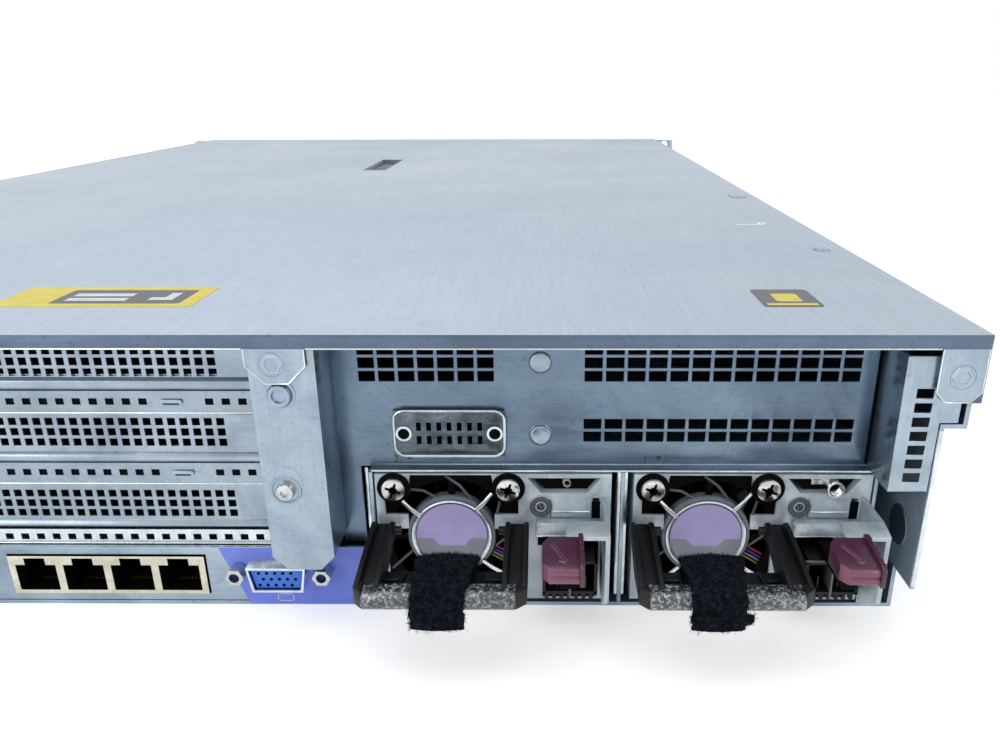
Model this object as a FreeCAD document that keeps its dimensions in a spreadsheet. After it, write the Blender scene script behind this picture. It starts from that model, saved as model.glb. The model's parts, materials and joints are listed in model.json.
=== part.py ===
import FreeCAD
import Part
import os

import Sketcher
from FreeCAD import Placement, Rotation, Vector

# A two-unit rack server in millimetres. The rear panel, with the ports and the power supplies, faces +Y,
# the drive bays face -Y, +Z is up and the bottom sheet lies at Z = 0. The origin is under the middle of
# the whole machine. Depths are counted forwards from the rear edge of the top cover.

DRIVING_SIZES = {
    # Enclosure
    "sheet": 1.2,
    "unit_height": 87.3,
    "cover_width": 445.4,
    "body_width": 431.0,
    "case_length": 679.0,
    "fit_gap": 0.3,
    "shoulder_drop": 25.3,
    "lip_drop": 17.8,
    "tail_rise": 14.0,
    "front_cover_length": 49.0,
    "cover_seam": 1.0,
    "stud_radius": 3.0,
    "stud_length": 4.5,
    "stud_z": 40.0,
    "stud_first_depth": 120.0,
    "stud_pitch": 220.0,
    "stud_count": 3,
    "standoff_x": -175.0,
    "standoff_depth": 410.0,
    "standoff_radius": 3.0,
    "standoff_columns": 4,
    "standoff_rows": 2,
    "standoff_pitch_x": 116.0,
    "standoff_pitch_y": 175.0,
    # Access panel
    "flange_height": 3.6,
    "middle_tab_x": -47.0,
    "middle_tab_width": 14.5,
    "middle_tab_tip": 5.0,
    "middle_tab_drop": 9.0,
    "corner_tab_width": 11.3,
    "corner_tab_chamfer": 6.0,
    "latch_x": 2.2,
    "latch_depth": 382.0,
    "latch_well_width": 15.5,
    "latch_well_length": 76.0,
    "latch_well_height": 7.5,
    "latch_gap": 0.8,
    "latch_thickness": 4.0,
    "latch_pin_radius": 1.5,
    "running_gap": 0.05,
    # Rear wall
    "overhang": 13.4,
    "vent_inset": 16.4,
    "vent_left_x": -55.6,
    "vent_right_x": -202.7,
    "vent_bottom_z": 44.0,
    "vent_top_drop": 2.3,
    "vent_leg_width": 6.7,
    "vent_leg_bottom_z": 19.6,
    "vent_opening_height": 2.9,
    "vent_row_pitch": 3.8,
    "vent_narrow_width": 4.4,
    "vent_narrow_pitch": 5.35,
    "vent_narrow_x": -100.1,
    "vent_narrow_columns": 7,
    "vent_wide_width": 4.8,
    "vent_wide_pitch": 5.75,
    "vent_wide_x": -198.3,
    "vent_wide_columns": 13,
    "vent_upper_drop": 18.0,
    "vent_upper_rows": 3,
    "vent_lower_z": 51.6,
    "vent_lower_rows": 2,
    "strip_inner_x": -203.5,
    "strip_wide_x": -218.7,
    "strip_slot_x": -211.4,
    "strip_slot_width": 4.4,
    "strip_slot_drop": 40.5,
    "strip_slot_height": 2.6,
    "strip_slot_pitch": 3.9,
    "strip_slot_rows": 7,
    "serial_x": -87.6,
    "serial_z": 54.5,
    "serial_width": 30.4,
    "serial_height": 13.4,
    "serial_window_width": 20.0,
    "serial_window_height": 8.4,
    "serial_hole_spacing": 25.0,
    "serial_hole_radius": 1.5,
    "serial_slot_pitch": 2.8,
    "serial_slot_width": 1.3,
    "serial_slot_height": 2.4,
    "serial_slot_columns": 7,
    "serial_slot_row_pitch": 4.0,
    # Bracket between the risers and the power supplies
    "bracket_inset": 1.5,
    "bracket_left_x": -39.5,
    "bracket_right_x": -56.5,
    "bracket_bottom_z": 19.6,
    "bracket_top_drop": 4.3,
    "bracket_chamfer": 4.0,
    "knob_x": -47.0,
    "knob_drop": 16.2,
    "knob_radius": 3.15,
    "knob_reach": 1.6,
    "plunger_x": -45.5,
    "plunger_z": 45.9,
    "plunger_radius": 2.5,
    "plunger_hole_radius": 3.75,
    "plunger_reach": 2.0,
    # Port row
    "port_row_top_z": 19.5,
    "port_row_end_x": -62.5,
    "jack_x": 13.6,
    "jack_pitch": 13.97,
    "jack_count": 4,
    "jack_margin": 1.93,
    "jack_bottom_z": 4.0,
    "jack_height": 12.6,
    "jack_depth": 22.0,
    "jack_reach": 0.6,
    "jack_opening_width": 11.7,
    "jack_opening_height": 8.4,
    "jack_opening_z": 5.2,
    "jack_cavity_depth": 14.0,
    "jack_notch_width": 6.0,
    "jack_notch_height": 2.2,
    "management_x": 68.0,
    "contact_pitch": 1.02,
    "contact_count": 8,
    "contact_width": 0.5,
    "contact_height": 0.6,
    "contact_length": 8.0,
    "video_x": -37.4,
    "video_z": 12.1,
    "video_width": 17.0,
    "video_height": 8.0,
    "video_slant": 1.2,
    "video_wall": 0.7,
    "video_reach": 6.0,
    "video_flange_width": 31.0,
    "video_flange_height": 12.5,
    "video_pin_radius": 0.5,
    "video_pin_pitch": 2.29,
    "video_pin_row_pitch": 1.98,
    "jackscrew_spacing": 24.99,
    "jackscrew_flat": 2.4,
    "jackscrew_hole_radius": 1.42,
    "jackscrew_length": 5.0,
    "usb_x": 88.0,
    "usb_width": 14.0,
    "usb_height": 6.6,
    "usb_pitch": 7.2,
    "usb_wall": 0.7,
    "usb_depth": 14.0,
    "usb_tongue_height": 1.9,
    "id_button_x": 106.0,
    "id_button_radius": 2.6,
    "id_button_reach": 1.6,
    "button_length": 8.0,
    "button_collar": 1.0,
    # Risers and slot covers
    "riser_right_x": -38.0,
    "riser_width": 118.0,
    "riser_pitch": 118.8,
    "riser_bottom_z": 19.8,
    "riser_top_drop": 2.1,
    "riser_length": 150.0,
    "slot_top_drop": 10.8,
    "slot_bottom_z": 32.1,
    "slot_count": 3,
    "slot_cover_height": 15.0,
    "slot_cover_thickness": 0.9,
    "slot_window_height": 11.0,
    "slot_hole": 2.2,
    "slot_hole_pitch": 3.4,
    "slot_hole_row_pitch": 3.1,
    "slot_hole_columns": 28,
    "slot_hole_rows": 3,
    "slot_hole_margin": 12.5,
    "strip_hole_pitch": 4.4,
    "strip_hole_columns": 22,
    "riser_board_thickness": 1.6,
    # System board
    "board_bottom_z": 2.4,
    "board_thickness": 1.6,
    "board_margin": 2.5,
    "board_wide_depth": 214.0,
    "board_front_depth": 428.0,
    "socket_x": 105.0,
    "socket_depth": 318.0,
    "processor_width": 45.0,
    "processor_height": 4.0,
    "sink_width": 78.0,
    "sink_length": 92.0,
    "sink_base": 5.0,
    "sink_height": 52.0,
    "fin_count": 18,
    "fin_thickness": 1.0,
    "memory_length": 133.0,
    "memory_height": 30.0,
    "memory_thickness": 1.4,
    "memory_pitch": 9.6,
    "memory_bank_gap": 6.0,
    "memory_per_bank": 4,
    "memory_socket_height": 6.0,
    "memory_socket_width": 6.4,
    "baffle_margin": 6.0,
    "baffle_thickness": 1.6,
    # Fan row
    "fan_depth": 440.0,
    "fan_count": 6,
    "fan_pitch": 68.0,
    "fan_size": 60.0,
    "fan_thickness": 38.0,
    "fan_bore_radius": 28.5,
    "fan_hub_radius": 15.0,
    "fan_tip_radius": 28.0,
    "fan_rotor_length": 30.0,
    "fan_strut": 3.0,
    "fan_cage_height": 76.0,
    "fan_bay_size": 61.0,
    "blade_count": 7,
    "blade_thickness": 1.6,
    "blade_twist": 9.0,
    # Drive bays
    "bay_count": 8,
    "bay_pitch": 18.6,
    "bay_right_x": 206.0,
    "bay_bottom_z": 4.0,
    "bay_top_drop": 11.3,
    "bay_wall": 1.0,
    "drive_length": 118.0,
    "drive_side_gap": 0.4,
    "drive_count": 2,
    "drive_bezel": 7.0,
    "lever_thickness": 5.0,
    "lever_pin_radius": 1.2,
    "lever_end_gap": 3.0,
    "drive_travel_room": 3.0,
    "backplane_thickness": 2.4,
    "blank_bezel": 4.0,
    "blank_slot_pitch": 5.0,
    "blank_slot_height": 2.6,
    "blank_slot_count": 12,
    # Rack ears
    "ear_span": 482.6,
    "ear_thickness": 2.0,
    "ear_bracket_length": 40.0,
    "ear_hole_edge": 8.75,
    "ear_hole_end": 5.55,
    "ear_hole_radius": 3.4,
    "power_button_edge": 14.3,
    "power_button_drop": 25.3,
    "power_button_radius": 4.0,
    "power_button_reach": 1.8,
    # Power supplies
    "supply_width": 66.0,
    "supply_pitch": 72.3,
    "supply_margin": 10.8,
    "supply_bottom_z": 2.4,
    "supply_height": 40.6,
    "supply_length": 185.0,
    "supply_face": 1.0,
    "supply_wall_gap": 0.5,
    "supply_fan_x": 21.2,
    "supply_fan_z": 20.3,
    "supply_fan_size": 38.6,
    "supply_fan_depth": 26.0,
    "supply_fan_bore": 18.0,
    "supply_fan_hub": 12.4,
    "supply_fan_tip": 17.5,
    "supply_rotor_length": 19.0,
    "supply_strut": 1.8,
    "supply_screw_spacing": 32.0,
    "supply_screw_radius": 3.0,
    "supply_screw_hole_radius": 1.6,
    "supply_screw_height": 1.4,
    "notch_x": 52.8,
    "notch_top_width": 20.4,
    "notch_bottom_width": 13.0,
    "notch_height": 5.7,
    "notch_depth": 8.0,
    "lamp_x": 46.2,
    "lamp_z": 31.0,
    "lamp_radius": 3.1,
    "lamp_height": 0.6,
    "inlet_x": 47.2,
    "inlet_width": 15.6,
    "inlet_bottom_z": 1.0,
    "inlet_height": 19.6,
    "inlet_reach": 9.0,
    "inlet_seat": 14.0,
    "inlet_wall": 1.2,
    "inlet_cavity_depth": 16.0,
    "inlet_comb_height": 2.4,
    "inlet_comb_pitch": 2.1,
    "inlet_comb_width": 0.9,
    "release_x": 46.8,
    "release_width": 9.2,
    "release_bottom_z": 29.2,
    "release_back_z": 36.6,
    "release_front_z": 34.2,
    "release_lip_z": 33.4,
    "release_near": 22.0,
    "release_reach": 36.0,
    "release_corner": 2.4,
    "release_flange": 1.2,
    "release_rim": 0.6,
    "stem_x": 51.5,
    "stem_width": 4.0,
    "stem_bottom_z": 27.2,
    "stem_height": 3.6,
    "stem_seat": 5.0,
    "release_travel": 2.2,
    "handle_start_x": -1.0,
    "handle_width": 44.0,
    "handle_arm": 6.5,
    "handle_reach": 33.0,
    "handle_bar_depth": 15.0,
    "handle_bar_bottom_z": 18.6,
    "handle_bar_height": 5.4,
    "handle_corner": 3.2,
    "handle_pivot_z": 25.6,
    "handle_pivot_reach": 4.8,
    "handle_end_height": 6.0,
    "handle_pin_radius": 1.2,
    "handle_lug": 3.0,
    "strap_x": 12.6,
    "strap_width": 15.0,
    "strap_thickness": 3.1,
    "strap_gap": 0.3,
    "strap_tail": 3.6,
    "shroud_x": 63.3,
    "shroud_reach": 19.6,
    "shroud_bottom_z": 5.6,
    "shroud_top_z": 33.8,
    "shroud_fall": 1.4,
    "shroud_plate_x": 53.0,
    "shroud_plate_near": 14.0,
    "shroud_slot_width": 2.0,
    "shroud_slot_gap": 0.5,
    "shroud_slot_height": 5.3,
    "face_opening_left": 2.4,
    "face_opening_right": 40.0,
    "face_opening_bottom_z": 3.0,
    "face_opening_tab_z": 32.9,
    "face_opening_top_z": 39.4,
    "face_tab_left": 9.6,
    "face_tab_right": 32.8,
    "face_tab_chamfer": 1.7,
}


class Size:
    """A size as its number and as the sheet expression that drives it."""

    def __init__(self, number, text):
        self.number = number
        self.text = text

    @staticmethod
    def of(item):
        return item if isinstance(item, Size) else Size(float(item), f"({item})")

    def join(self, other, sign, number):
        return Size(number, f"({self.text} {sign} {other.text})")

    def __add__(self, other):
        other = Size.of(other)
        return self.join(other, "+", self.number + other.number)

    def __sub__(self, other):
        other = Size.of(other)
        return self.join(other, "-", self.number - other.number)

    def __mul__(self, other):
        other = Size.of(other)
        return self.join(other, "*", self.number * other.number)

    def __truediv__(self, other):
        other = Size.of(other)
        return self.join(other, "/", self.number / other.number)

    def __neg__(self):
        return Size(-self.number, f"(-{self.text})")

    def __radd__(self, other):
        return Size.of(other) + self

    def __rsub__(self, other):
        return Size.of(other) - self

    __rmul__ = __mul__


class DrivingSizes:
    """The sheet's sizes, each one an attribute."""

    def __init__(self, sheet, values):
        for row, (name, number) in enumerate(values.items(), start=1):
            sheet.set(f"A{row}", name)
            sheet.set(f"B{row}", str(number))
            sheet.setAlias(f"B{row}", name)
            setattr(self, name, Size(float(number), f"{sheet.Name}.{name}"))


document = FreeCAD.newDocument("RackServer")
sheet = document.addObject("Spreadsheet::Sheet", "Sizes")
size = DrivingSizes(sheet, DRIVING_SIZES)
document.recompute()

nodes = []

AXIS_TURNS = {
    "x": Rotation(Vector(0, 0, 1), Vector(1, 0, 0)),
    "y": Rotation(Vector(0, 0, 1), Vector(0, 1, 0)),
    "z": Rotation(),
}


# Building helpers ----------------------------------------------------------------------------------

def node(name, item):
    """Names a finished sub-part and lists it for writing."""
    item.Label = name
    nodes.append(item)
    return item


def bind(item, prop, value):
    item.setExpression(prop, Size.of(value).text)


def place(item, x, y, z):
    for axis, value in zip("xyz", (x, y, z)):
        bind(item, f"Placement.Base.{axis}", value)


def block(name, x, y, z):
    """A box between the low and high value of each axis."""
    item = document.addObject("Part::Box", name)
    for prop, (low, high) in zip(("Length", "Width", "Height"), (x, y, z)):
        bind(item, prop, Size.of(high) - low)
    place(item, x[0], y[0], z[0])
    return item


def rod(name, radius, along, **at):
    """A cylinder along one axis, whose span is a (low, high) pair; the other two give its centre line."""
    item = document.addObject("Part::Cylinder", name)
    low, high = at[along]
    bind(item, "Radius", radius)
    bind(item, "Height", Size.of(high) - low)
    item.Placement = Placement(Vector(), AXIS_TURNS[along])
    place(item, *[low if axis == along else at[axis] for axis in "xyz"])
    return item


def cut(name, base, *tools):
    item = document.addObject("Part::Cut", name)
    item.Base = base
    item.Tool = tools[0] if len(tools) == 1 else fuse(name + "Tools", *tools)
    return item


def fuse(name, *parts):
    item = document.addObject("Part::MultiFuse", name)
    item.Shapes = list(parts)
    return item


def group(name, *parts):
    """Separate solids that share one node."""
    item = document.addObject("Part::Compound", name)
    item.Links = list(parts)
    return item


def copy_of(name, original, x=0, y=0, z=0):
    """The same piece again, moved along the axes."""
    item = group(name, original)
    place(item, x, y, z)
    return item


def new_body(name, x=0, y=0, z=0):
    body = document.addObject("PartDesign::Body", name)
    place(body, x, y, z)
    return body


def sketch_on(body, plane, at):
    """An empty sketch parallel to one of the body's own origin planes, at a place on that plane's axis."""
    sketch = body.newObject("Sketcher::SketchObject", body.Name + "Sketch")
    support = next(feature for feature in body.Origin.OriginFeatures if feature.Role == plane)
    sketch.AttachmentSupport = [(support, "")]
    sketch.MapMode = "FlatFace"
    bind(sketch, "AttachmentOffset.Base.z", -Size.of(at) if plane == "XZ_Plane" else at)
    return sketch


def polygon(sketch, corners):
    """A closed outline of straight edges, each corner tied to the sheet."""
    corners = [(Size.of(across), Size.of(up)) for across, up in corners]
    points = [Vector(across.number, up.number, 0) for across, up in corners]
    first = sketch.GeometryCount
    total = len(points)
    edges = [Part.LineSegment(points[i], points[(i + 1) % total]) for i in range(total)]
    sketch.addGeometry(edges, False)
    for i in range(total):
        following = first + (i + 1) % total
        sketch.addConstraint(Sketcher.Constraint("Coincident", first + i, 2, following, 1))
    for i, (across, up) in enumerate(corners):
        for kind, value in (("DistanceX", across), ("DistanceY", up)):
            index = sketch.addConstraint(
                Sketcher.Constraint(kind, -1, 1, first + i, 1, value.number))
            sketch.setExpression(f"Constraints[{index}]", value.text)


def rectangle(sketch, across, up):
    polygon(sketch, [(across[0], up[0]), (across[1], up[0]), (across[1], up[1]), (across[0], up[1])])


def circle(sketch, across, up, radius):
    across, up, radius = Size.of(across), Size.of(up), Size.of(radius)
    ring = Part.Circle(Vector(across.number, up.number, 0), Vector(0, 0, 1), radius.number)
    index = sketch.addGeometry(ring, False)
    for kind, value in (("DistanceX", across), ("DistanceY", up)):
        constraint = sketch.addConstraint(Sketcher.Constraint(kind, -1, 1, index, 3, value.number))
        sketch.setExpression(f"Constraints[{constraint}]", value.text)
    constraint = sketch.addConstraint(Sketcher.Constraint("Radius", index, radius.number))
    sketch.setExpression(f"Constraints[{constraint}]", radius.text)


def pad(body, plane, span, draw):
    """Adds material between two places on the plane's axis; draw puts the outlines in the sketch."""
    sketch = sketch_on(body, plane, span[0])
    draw(sketch)
    feature = body.newObject("PartDesign::Pad", body.Name + "Pad")
    feature.Profile = (sketch, [""])
    bind(feature, "Length", Size.of(span[1]) - span[0])
    feature.Reversed = plane == "XZ_Plane"
    return feature


def pocket(body, plane, span, draw):
    """Removes material between two places on the plane's axis."""
    sketch = sketch_on(body, plane, span[0])
    draw(sketch)
    feature = body.newObject("PartDesign::Pocket", body.Name + "Pocket")
    feature.Profile = (sketch, [""])
    bind(feature, "Length", Size.of(span[1]) - span[0])
    feature.Reversed = plane != "XZ_Plane"
    return feature


def pattern(body, feature, columns=None, rows=None):
    """Repeats a pad or pocket; columns and rows are (count, pitch) along the sketch's two axes."""
    sketch = feature.Profile[0]
    item = body.newObject("PartDesign::LinearPattern", body.Name + "Pattern")
    item.Originals = [feature]
    first, first_axis = (columns, "H_Axis") if columns else (rows, "V_Axis")
    item.Direction = (sketch, [first_axis])
    item.Mode = "Extent"
    bind(item, "Length", first[1] * (first[0] - 1))
    bind(item, "Occurrences", first[0])
    if columns and rows:
        item.Direction2 = (sketch, ["V_Axis"])
        item.Mode2 = "Extent"
        bind(item, "Length2", rows[1] * (rows[0] - 1))
        bind(item, "Occurrences2", rows[0])
    body.Tip = item
    return item


def spin_pattern(body, feature, count):
    """Repeats a feature around the body's own Y axis."""
    axis = next(item for item in body.Origin.OriginFeatures if item.Role == "Y_Axis")
    item = body.newObject("PartDesign::PolarPattern", body.Name + "Ring")
    item.Originals = [feature]
    item.Axis = (axis, [""])
    item.Angle = 360
    bind(item, "Occurrences", count)
    body.Tip = item
    return item


# Places shared by several pieces -------------------------------------------------------------------

def from_top(drop):
    """A height counted down from the top of the enclosure."""
    return size.unit_height - drop


slot_pitch = (from_top(size.slot_top_drop) - size.slot_bottom_z) / (size.slot_count - 1)
half_body = size.body_width / 2
half_cover = size.cover_width / 2
half_shoulder = half_cover - size.sheet - size.fit_gap
power_button_x = size.ear_span / 2 - size.power_button_edge
bay_height = size.unit_height - size.bay_top_drop
wall_top_z = size.unit_height - size.sheet - size.fit_gap
lever_front_reach = size.drive_bezel + size.lever_thickness
tail_reach = size.handle_reach + size.strap_gap + size.strap_thickness - size.overhang
rear_y = (size.case_length + lever_front_reach - tail_reach) / 2
face_y = rear_y - size.overhang
front_y = rear_y - size.case_length
board_top_z = size.board_bottom_z + size.board_thickness
supply_left_x = size.supply_margin + size.supply_width - half_body
supply_top_z = size.supply_bottom_z + size.supply_height


def depths(near, far):
    """The Y span between two depths forwards from the cover's rear edge."""
    return (rear_y - far, rear_y - near)


# Enclosure -----------------------------------------------------------------------------------------

def make_chassis_tub():
    """One bent sheet: floor and two side walls that step outwards at the shoulder, with rail studs."""
    body = new_body("ChassisTub")
    inner = half_body - size.sheet
    shoulder_inner = half_shoulder - size.sheet
    ledge_top = from_top(size.shoulder_drop) + size.sheet
    right_half = [
        (half_body, 0), (half_body, from_top(size.shoulder_drop)),
        (half_shoulder, from_top(size.shoulder_drop)),
        (half_shoulder, wall_top_z), (shoulder_inner, wall_top_z), (shoulder_inner, ledge_top),
        (inner, ledge_top), (inner, size.sheet),
    ]
    left_half = [(-across, up) for across, up in reversed(right_half)]
    wall_end = rear_y - size.sheet - size.fit_gap
    pad(body, "XZ_Plane", (front_y, wall_end), lambda s: polygon(s, right_half + left_half))
    pocket(body, "XZ_Plane", (face_y, wall_end + size.sheet), lambda s: rectangle(
        s, (-half_cover, half_cover), (-size.sheet, size.tail_rise)))
    feet = pad(body, "XY_Plane", (size.sheet / 2, size.board_bottom_z), lambda s: circle(
        s, size.standoff_x, rear_y - size.standoff_depth, size.standoff_radius))
    pattern(body, feet, columns=(size.standoff_columns, size.standoff_pitch_x),
            rows=(size.standoff_rows, size.standoff_pitch_y))
    stud_y = rear_y - size.stud_first_depth - size.stud_pitch * (size.stud_count - 1)
    for side in (1, -1):
        span = (half_body - size.sheet / 2, half_body + size.stud_length)
        if side < 0:
            span = (-span[1], -span[0])
        stud = pad(body, "YZ_Plane", span, lambda s: circle(s, stud_y, size.stud_z, size.stud_radius))
        pattern(body, stud, columns=(size.stud_count, size.stud_pitch))
    return node("chassis_tub", body)


def cover_section(sketch):
    """The top covers' cross-section: a flat top with a lip down each side."""
    inner = half_cover - size.sheet
    under = size.unit_height - size.sheet
    polygon(sketch, [
        (half_cover, from_top(size.lip_drop)), (half_cover, size.unit_height),
        (-half_cover, size.unit_height), (-half_cover, from_top(size.lip_drop)),
        (-inner, from_top(size.lip_drop)), (-inner, under), (inner, under), (inner, from_top(size.lip_drop)),
    ])


def make_front_cover():
    body = new_body("FrontCover")
    pad(body, "XZ_Plane", (front_y, front_y + size.front_cover_length), cover_section)
    return node("front_cover", body)


def latch_well():
    """The latch well's inside: its X span, Y span and floor height."""
    across = (size.latch_x - size.latch_well_width / 2, size.latch_x + size.latch_well_width / 2)
    along = depths(size.latch_depth, size.latch_depth + size.latch_well_length)
    return across, along, size.unit_height - size.latch_well_height


def latch_pivot():
    """The latch lever's hinge line: its Y and Z."""
    _, along, floor = latch_well()
    reach = size.latch_gap + size.latch_thickness / 2
    return along[0] + reach, floor + reach


def make_access_panel():
    """The removable top: lips, a rear flange with three tabs, and the well that holds its latch."""
    body = new_body("AccessPanel")
    start = front_y + size.front_cover_length + size.cover_seam
    pad(body, "XZ_Plane", (start, rear_y), cover_section)
    lower = size.unit_height - size.flange_height
    rear_sheet = (rear_y - size.sheet, rear_y)
    inner = half_cover - size.sheet / 2
    pad(body, "XZ_Plane", rear_sheet, lambda s: rectangle(
        s, (-inner, inner), (lower, size.unit_height - size.sheet / 2)))
    tab_bottom = lower - size.middle_tab_drop
    half_tab, half_tip = size.middle_tab_width / 2, size.middle_tab_tip / 2
    middle = [
        (size.middle_tab_x - half_tab, lower + size.sheet / 2),
        (size.middle_tab_x + half_tab, lower + size.sheet / 2),
        (size.middle_tab_x + half_tip, tab_bottom), (size.middle_tab_x - half_tip, tab_bottom),
    ]
    pad(body, "XZ_Plane", rear_sheet, lambda s: polygon(s, middle))
    tab_inner = half_cover - size.corner_tab_width
    chamfer = size.corner_tab_chamfer
    corner = [
        (inner, from_top(size.lip_drop)), (tab_inner + chamfer, from_top(size.lip_drop)),
        (tab_inner, from_top(size.lip_drop) + chamfer), (tab_inner, lower + size.sheet / 2),
        (inner, lower + size.sheet / 2),
    ]
    for side in (1, -1):
        pad(body, "XZ_Plane", rear_sheet, lambda s: polygon(s, [(side * a, up) for a, up in corner]))
    across, along, floor = latch_well()
    wall = size.sheet
    top_middle = size.unit_height - size.sheet / 2
    pad(body, "XY_Plane", (floor - wall, top_middle), lambda s: rectangle(
        s, (across[0] - wall, across[1] + wall), (along[0] - wall, along[1] + wall)))
    pocket(body, "XY_Plane", (floor, size.unit_height + wall), lambda s: rectangle(s, across, along))
    pivot_y, pivot_z = latch_pivot()
    pocket(body, "YZ_Plane", (across[0] - wall * 2, across[1] + wall * 2), lambda s: circle(
        s, pivot_y, pivot_z, size.latch_pin_radius + size.running_gap))
    return node("access_panel", body)


def make_panel_latch():
    """The lever in the well: a flat bar on a pin that sits in the well's side walls."""
    across, along, floor = latch_well()
    pivot_y, pivot_z = latch_pivot()
    inside = (across[0] + size.latch_gap, across[1] - size.latch_gap)
    low = pivot_z - size.latch_thickness / 2
    bar = block("LatchBar", inside, (pivot_y, along[1] - size.latch_gap * 2),
                (low, low + size.latch_thickness))
    knuckle = rod("LatchKnuckle", size.latch_thickness / 2, "x", x=inside, y=pivot_y, z=pivot_z)
    pin = rod("LatchPin", size.latch_pin_radius, "x",
              x=(across[0] - size.sheet, across[1] + size.sheet), y=pivot_y, z=pivot_z)
    return node("panel_latch", fuse("PanelLatch", bar, knuckle, pin))


def make_rack_ears():
    """Two ears: a flange with two rack holes each, and a bracket along the side wall."""
    flange_y = (front_y, front_y + size.ear_thickness)
    edge = size.ear_span / 2
    inner = half_body + size.fit_gap / 3
    bracket = inner + size.ear_thickness
    hole_x = edge - size.ear_hole_edge
    bottom, top = size.sheet, size.unit_height - size.sheet
    for side, name in ((1, "ear_right"), (-1, "ear_left")):
        body = new_body(name.title().replace("_", ""))
        spans = [sorted((side * a, side * b), key=lambda item: item.number)
                 for a, b in ((inner, edge), (inner, bracket))]
        pad(body, "XZ_Plane", (front_y - size.ear_thickness, front_y - size.fit_gap / 3),
            lambda s: rectangle(s, spans[0], (bottom, top)))
        pad(body, "XZ_Plane", (front_y - size.ear_thickness, front_y + size.ear_bracket_length),
            lambda s: rectangle(s, spans[1], (bottom, from_top(size.shoulder_drop) - size.sheet)))
        for hole_z in (size.ear_hole_end, from_top(size.ear_hole_end)):
            pocket(body, "XZ_Plane", (front_y - size.ear_thickness * 2, flange_y[1]),
                   lambda s: circle(s, side * hole_x, hole_z, size.ear_hole_radius))
        if side > 0:
            pocket(body, "XZ_Plane", (front_y - size.ear_thickness * 2, flange_y[1]),
                   lambda s: circle(s, power_button_x, from_top(size.power_button_drop),
                                    size.power_button_radius + size.fit_gap))
        node(name, body)


def make_power_button():
    """A round push button through the right ear, with a collar behind it."""
    outer = front_y - size.ear_thickness
    cap = rod("PowerCap", size.power_button_radius, "y", x=power_button_x,
              y=(outer - size.power_button_reach, outer + size.button_length),
              z=from_top(size.power_button_drop))
    collar_start = front_y + size.button_length / 2
    collar = rod("PowerCollar", size.power_button_radius + size.button_collar, "y",
                 x=power_button_x, y=(collar_start, collar_start + size.button_collar),
                 z=from_top(size.power_button_drop))
    return node("power_button", fuse("PowerButton", cap, collar))


# Rear wall -----------------------------------------------------------------------------------------

def make_rear_vent_panel():
    """The inset wall above the power supplies, with three banks of vent slots and a leg to the left."""
    body = new_body("RearVentPanel")
    leg_x = size.vent_left_x - size.vent_leg_width
    wall = depths(size.vent_inset, size.vent_inset + size.sheet)
    pad(body, "XZ_Plane", wall, lambda s: polygon(s, [
        (size.vent_right_x, size.vent_bottom_z), (leg_x, size.vent_bottom_z),
        (leg_x, size.vent_leg_bottom_z), (size.vent_left_x, size.vent_leg_bottom_z),
        (size.vent_left_x, from_top(size.vent_top_drop)), (size.vent_right_x, from_top(size.vent_top_drop)),
    ]))
    through = depths(size.vent_inset - size.sheet, size.vent_inset + size.sheet * 2)
    banks = [
        (size.vent_narrow_x, size.vent_narrow_width, size.vent_narrow_columns,
         size.vent_narrow_pitch, from_top(size.vent_upper_drop), size.vent_upper_rows),
        (size.vent_wide_x, size.vent_wide_width, size.vent_wide_columns,
         size.vent_wide_pitch, from_top(size.vent_upper_drop), size.vent_upper_rows),
        (size.vent_wide_x, size.vent_wide_width, size.vent_wide_columns,
         size.vent_wide_pitch, size.vent_lower_z, size.vent_lower_rows),
    ]
    for left, width, columns, pitch, low, rows in banks:
        slot = pocket(body, "XZ_Plane", through, lambda s: rectangle(
            s, (left, left + width), (low, low + size.vent_opening_height)))
        pattern(body, slot, columns=(columns, pitch), rows=(rows, size.vent_row_pitch))
    pocket(body, "XZ_Plane", through, lambda s: rectangle(
        s, (size.serial_x - size.serial_window_width / 2, size.serial_x + size.serial_window_width / 2),
        (size.serial_z - size.serial_window_height / 2, size.serial_z + size.serial_window_height / 2)))
    return node("rear_vent_panel", body)


def make_serial_cover():
    """The knock-out plate over the serial port window, with two screw holes and two rows of slots."""
    body = new_body("SerialCover")
    half_width, half_height = size.serial_width / 2, size.serial_height / 2
    pad(body, "XZ_Plane", depths(size.vent_inset - size.sheet, size.vent_inset), lambda s: rectangle(
        s, (size.serial_x - half_width, size.serial_x + half_width),
        (size.serial_z - half_height, size.serial_z + half_height)))
    through = depths(size.vent_inset - size.sheet * 2, size.vent_inset + size.sheet)
    for side in (-1, 1):
        pocket(body, "XZ_Plane", through, lambda s: circle(
            s, size.serial_x + size.serial_hole_spacing * side / 2, size.serial_z,
            size.serial_hole_radius))
    first_x = size.serial_x - (size.serial_slot_pitch * (size.serial_slot_columns - 1)
                               + size.serial_slot_width) / 2
    first_z = size.serial_z - (size.serial_slot_row_pitch + size.serial_slot_height) / 2
    slot = pocket(body, "XZ_Plane", through, lambda s: rectangle(
        s, (first_x, first_x + size.serial_slot_width), (first_z, first_z + size.serial_slot_height)))
    pattern(body, slot, columns=(size.serial_slot_columns, size.serial_slot_pitch),
            rows=(Size.of(2), size.serial_slot_row_pitch))
    return node("serial_cover", body)


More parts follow.
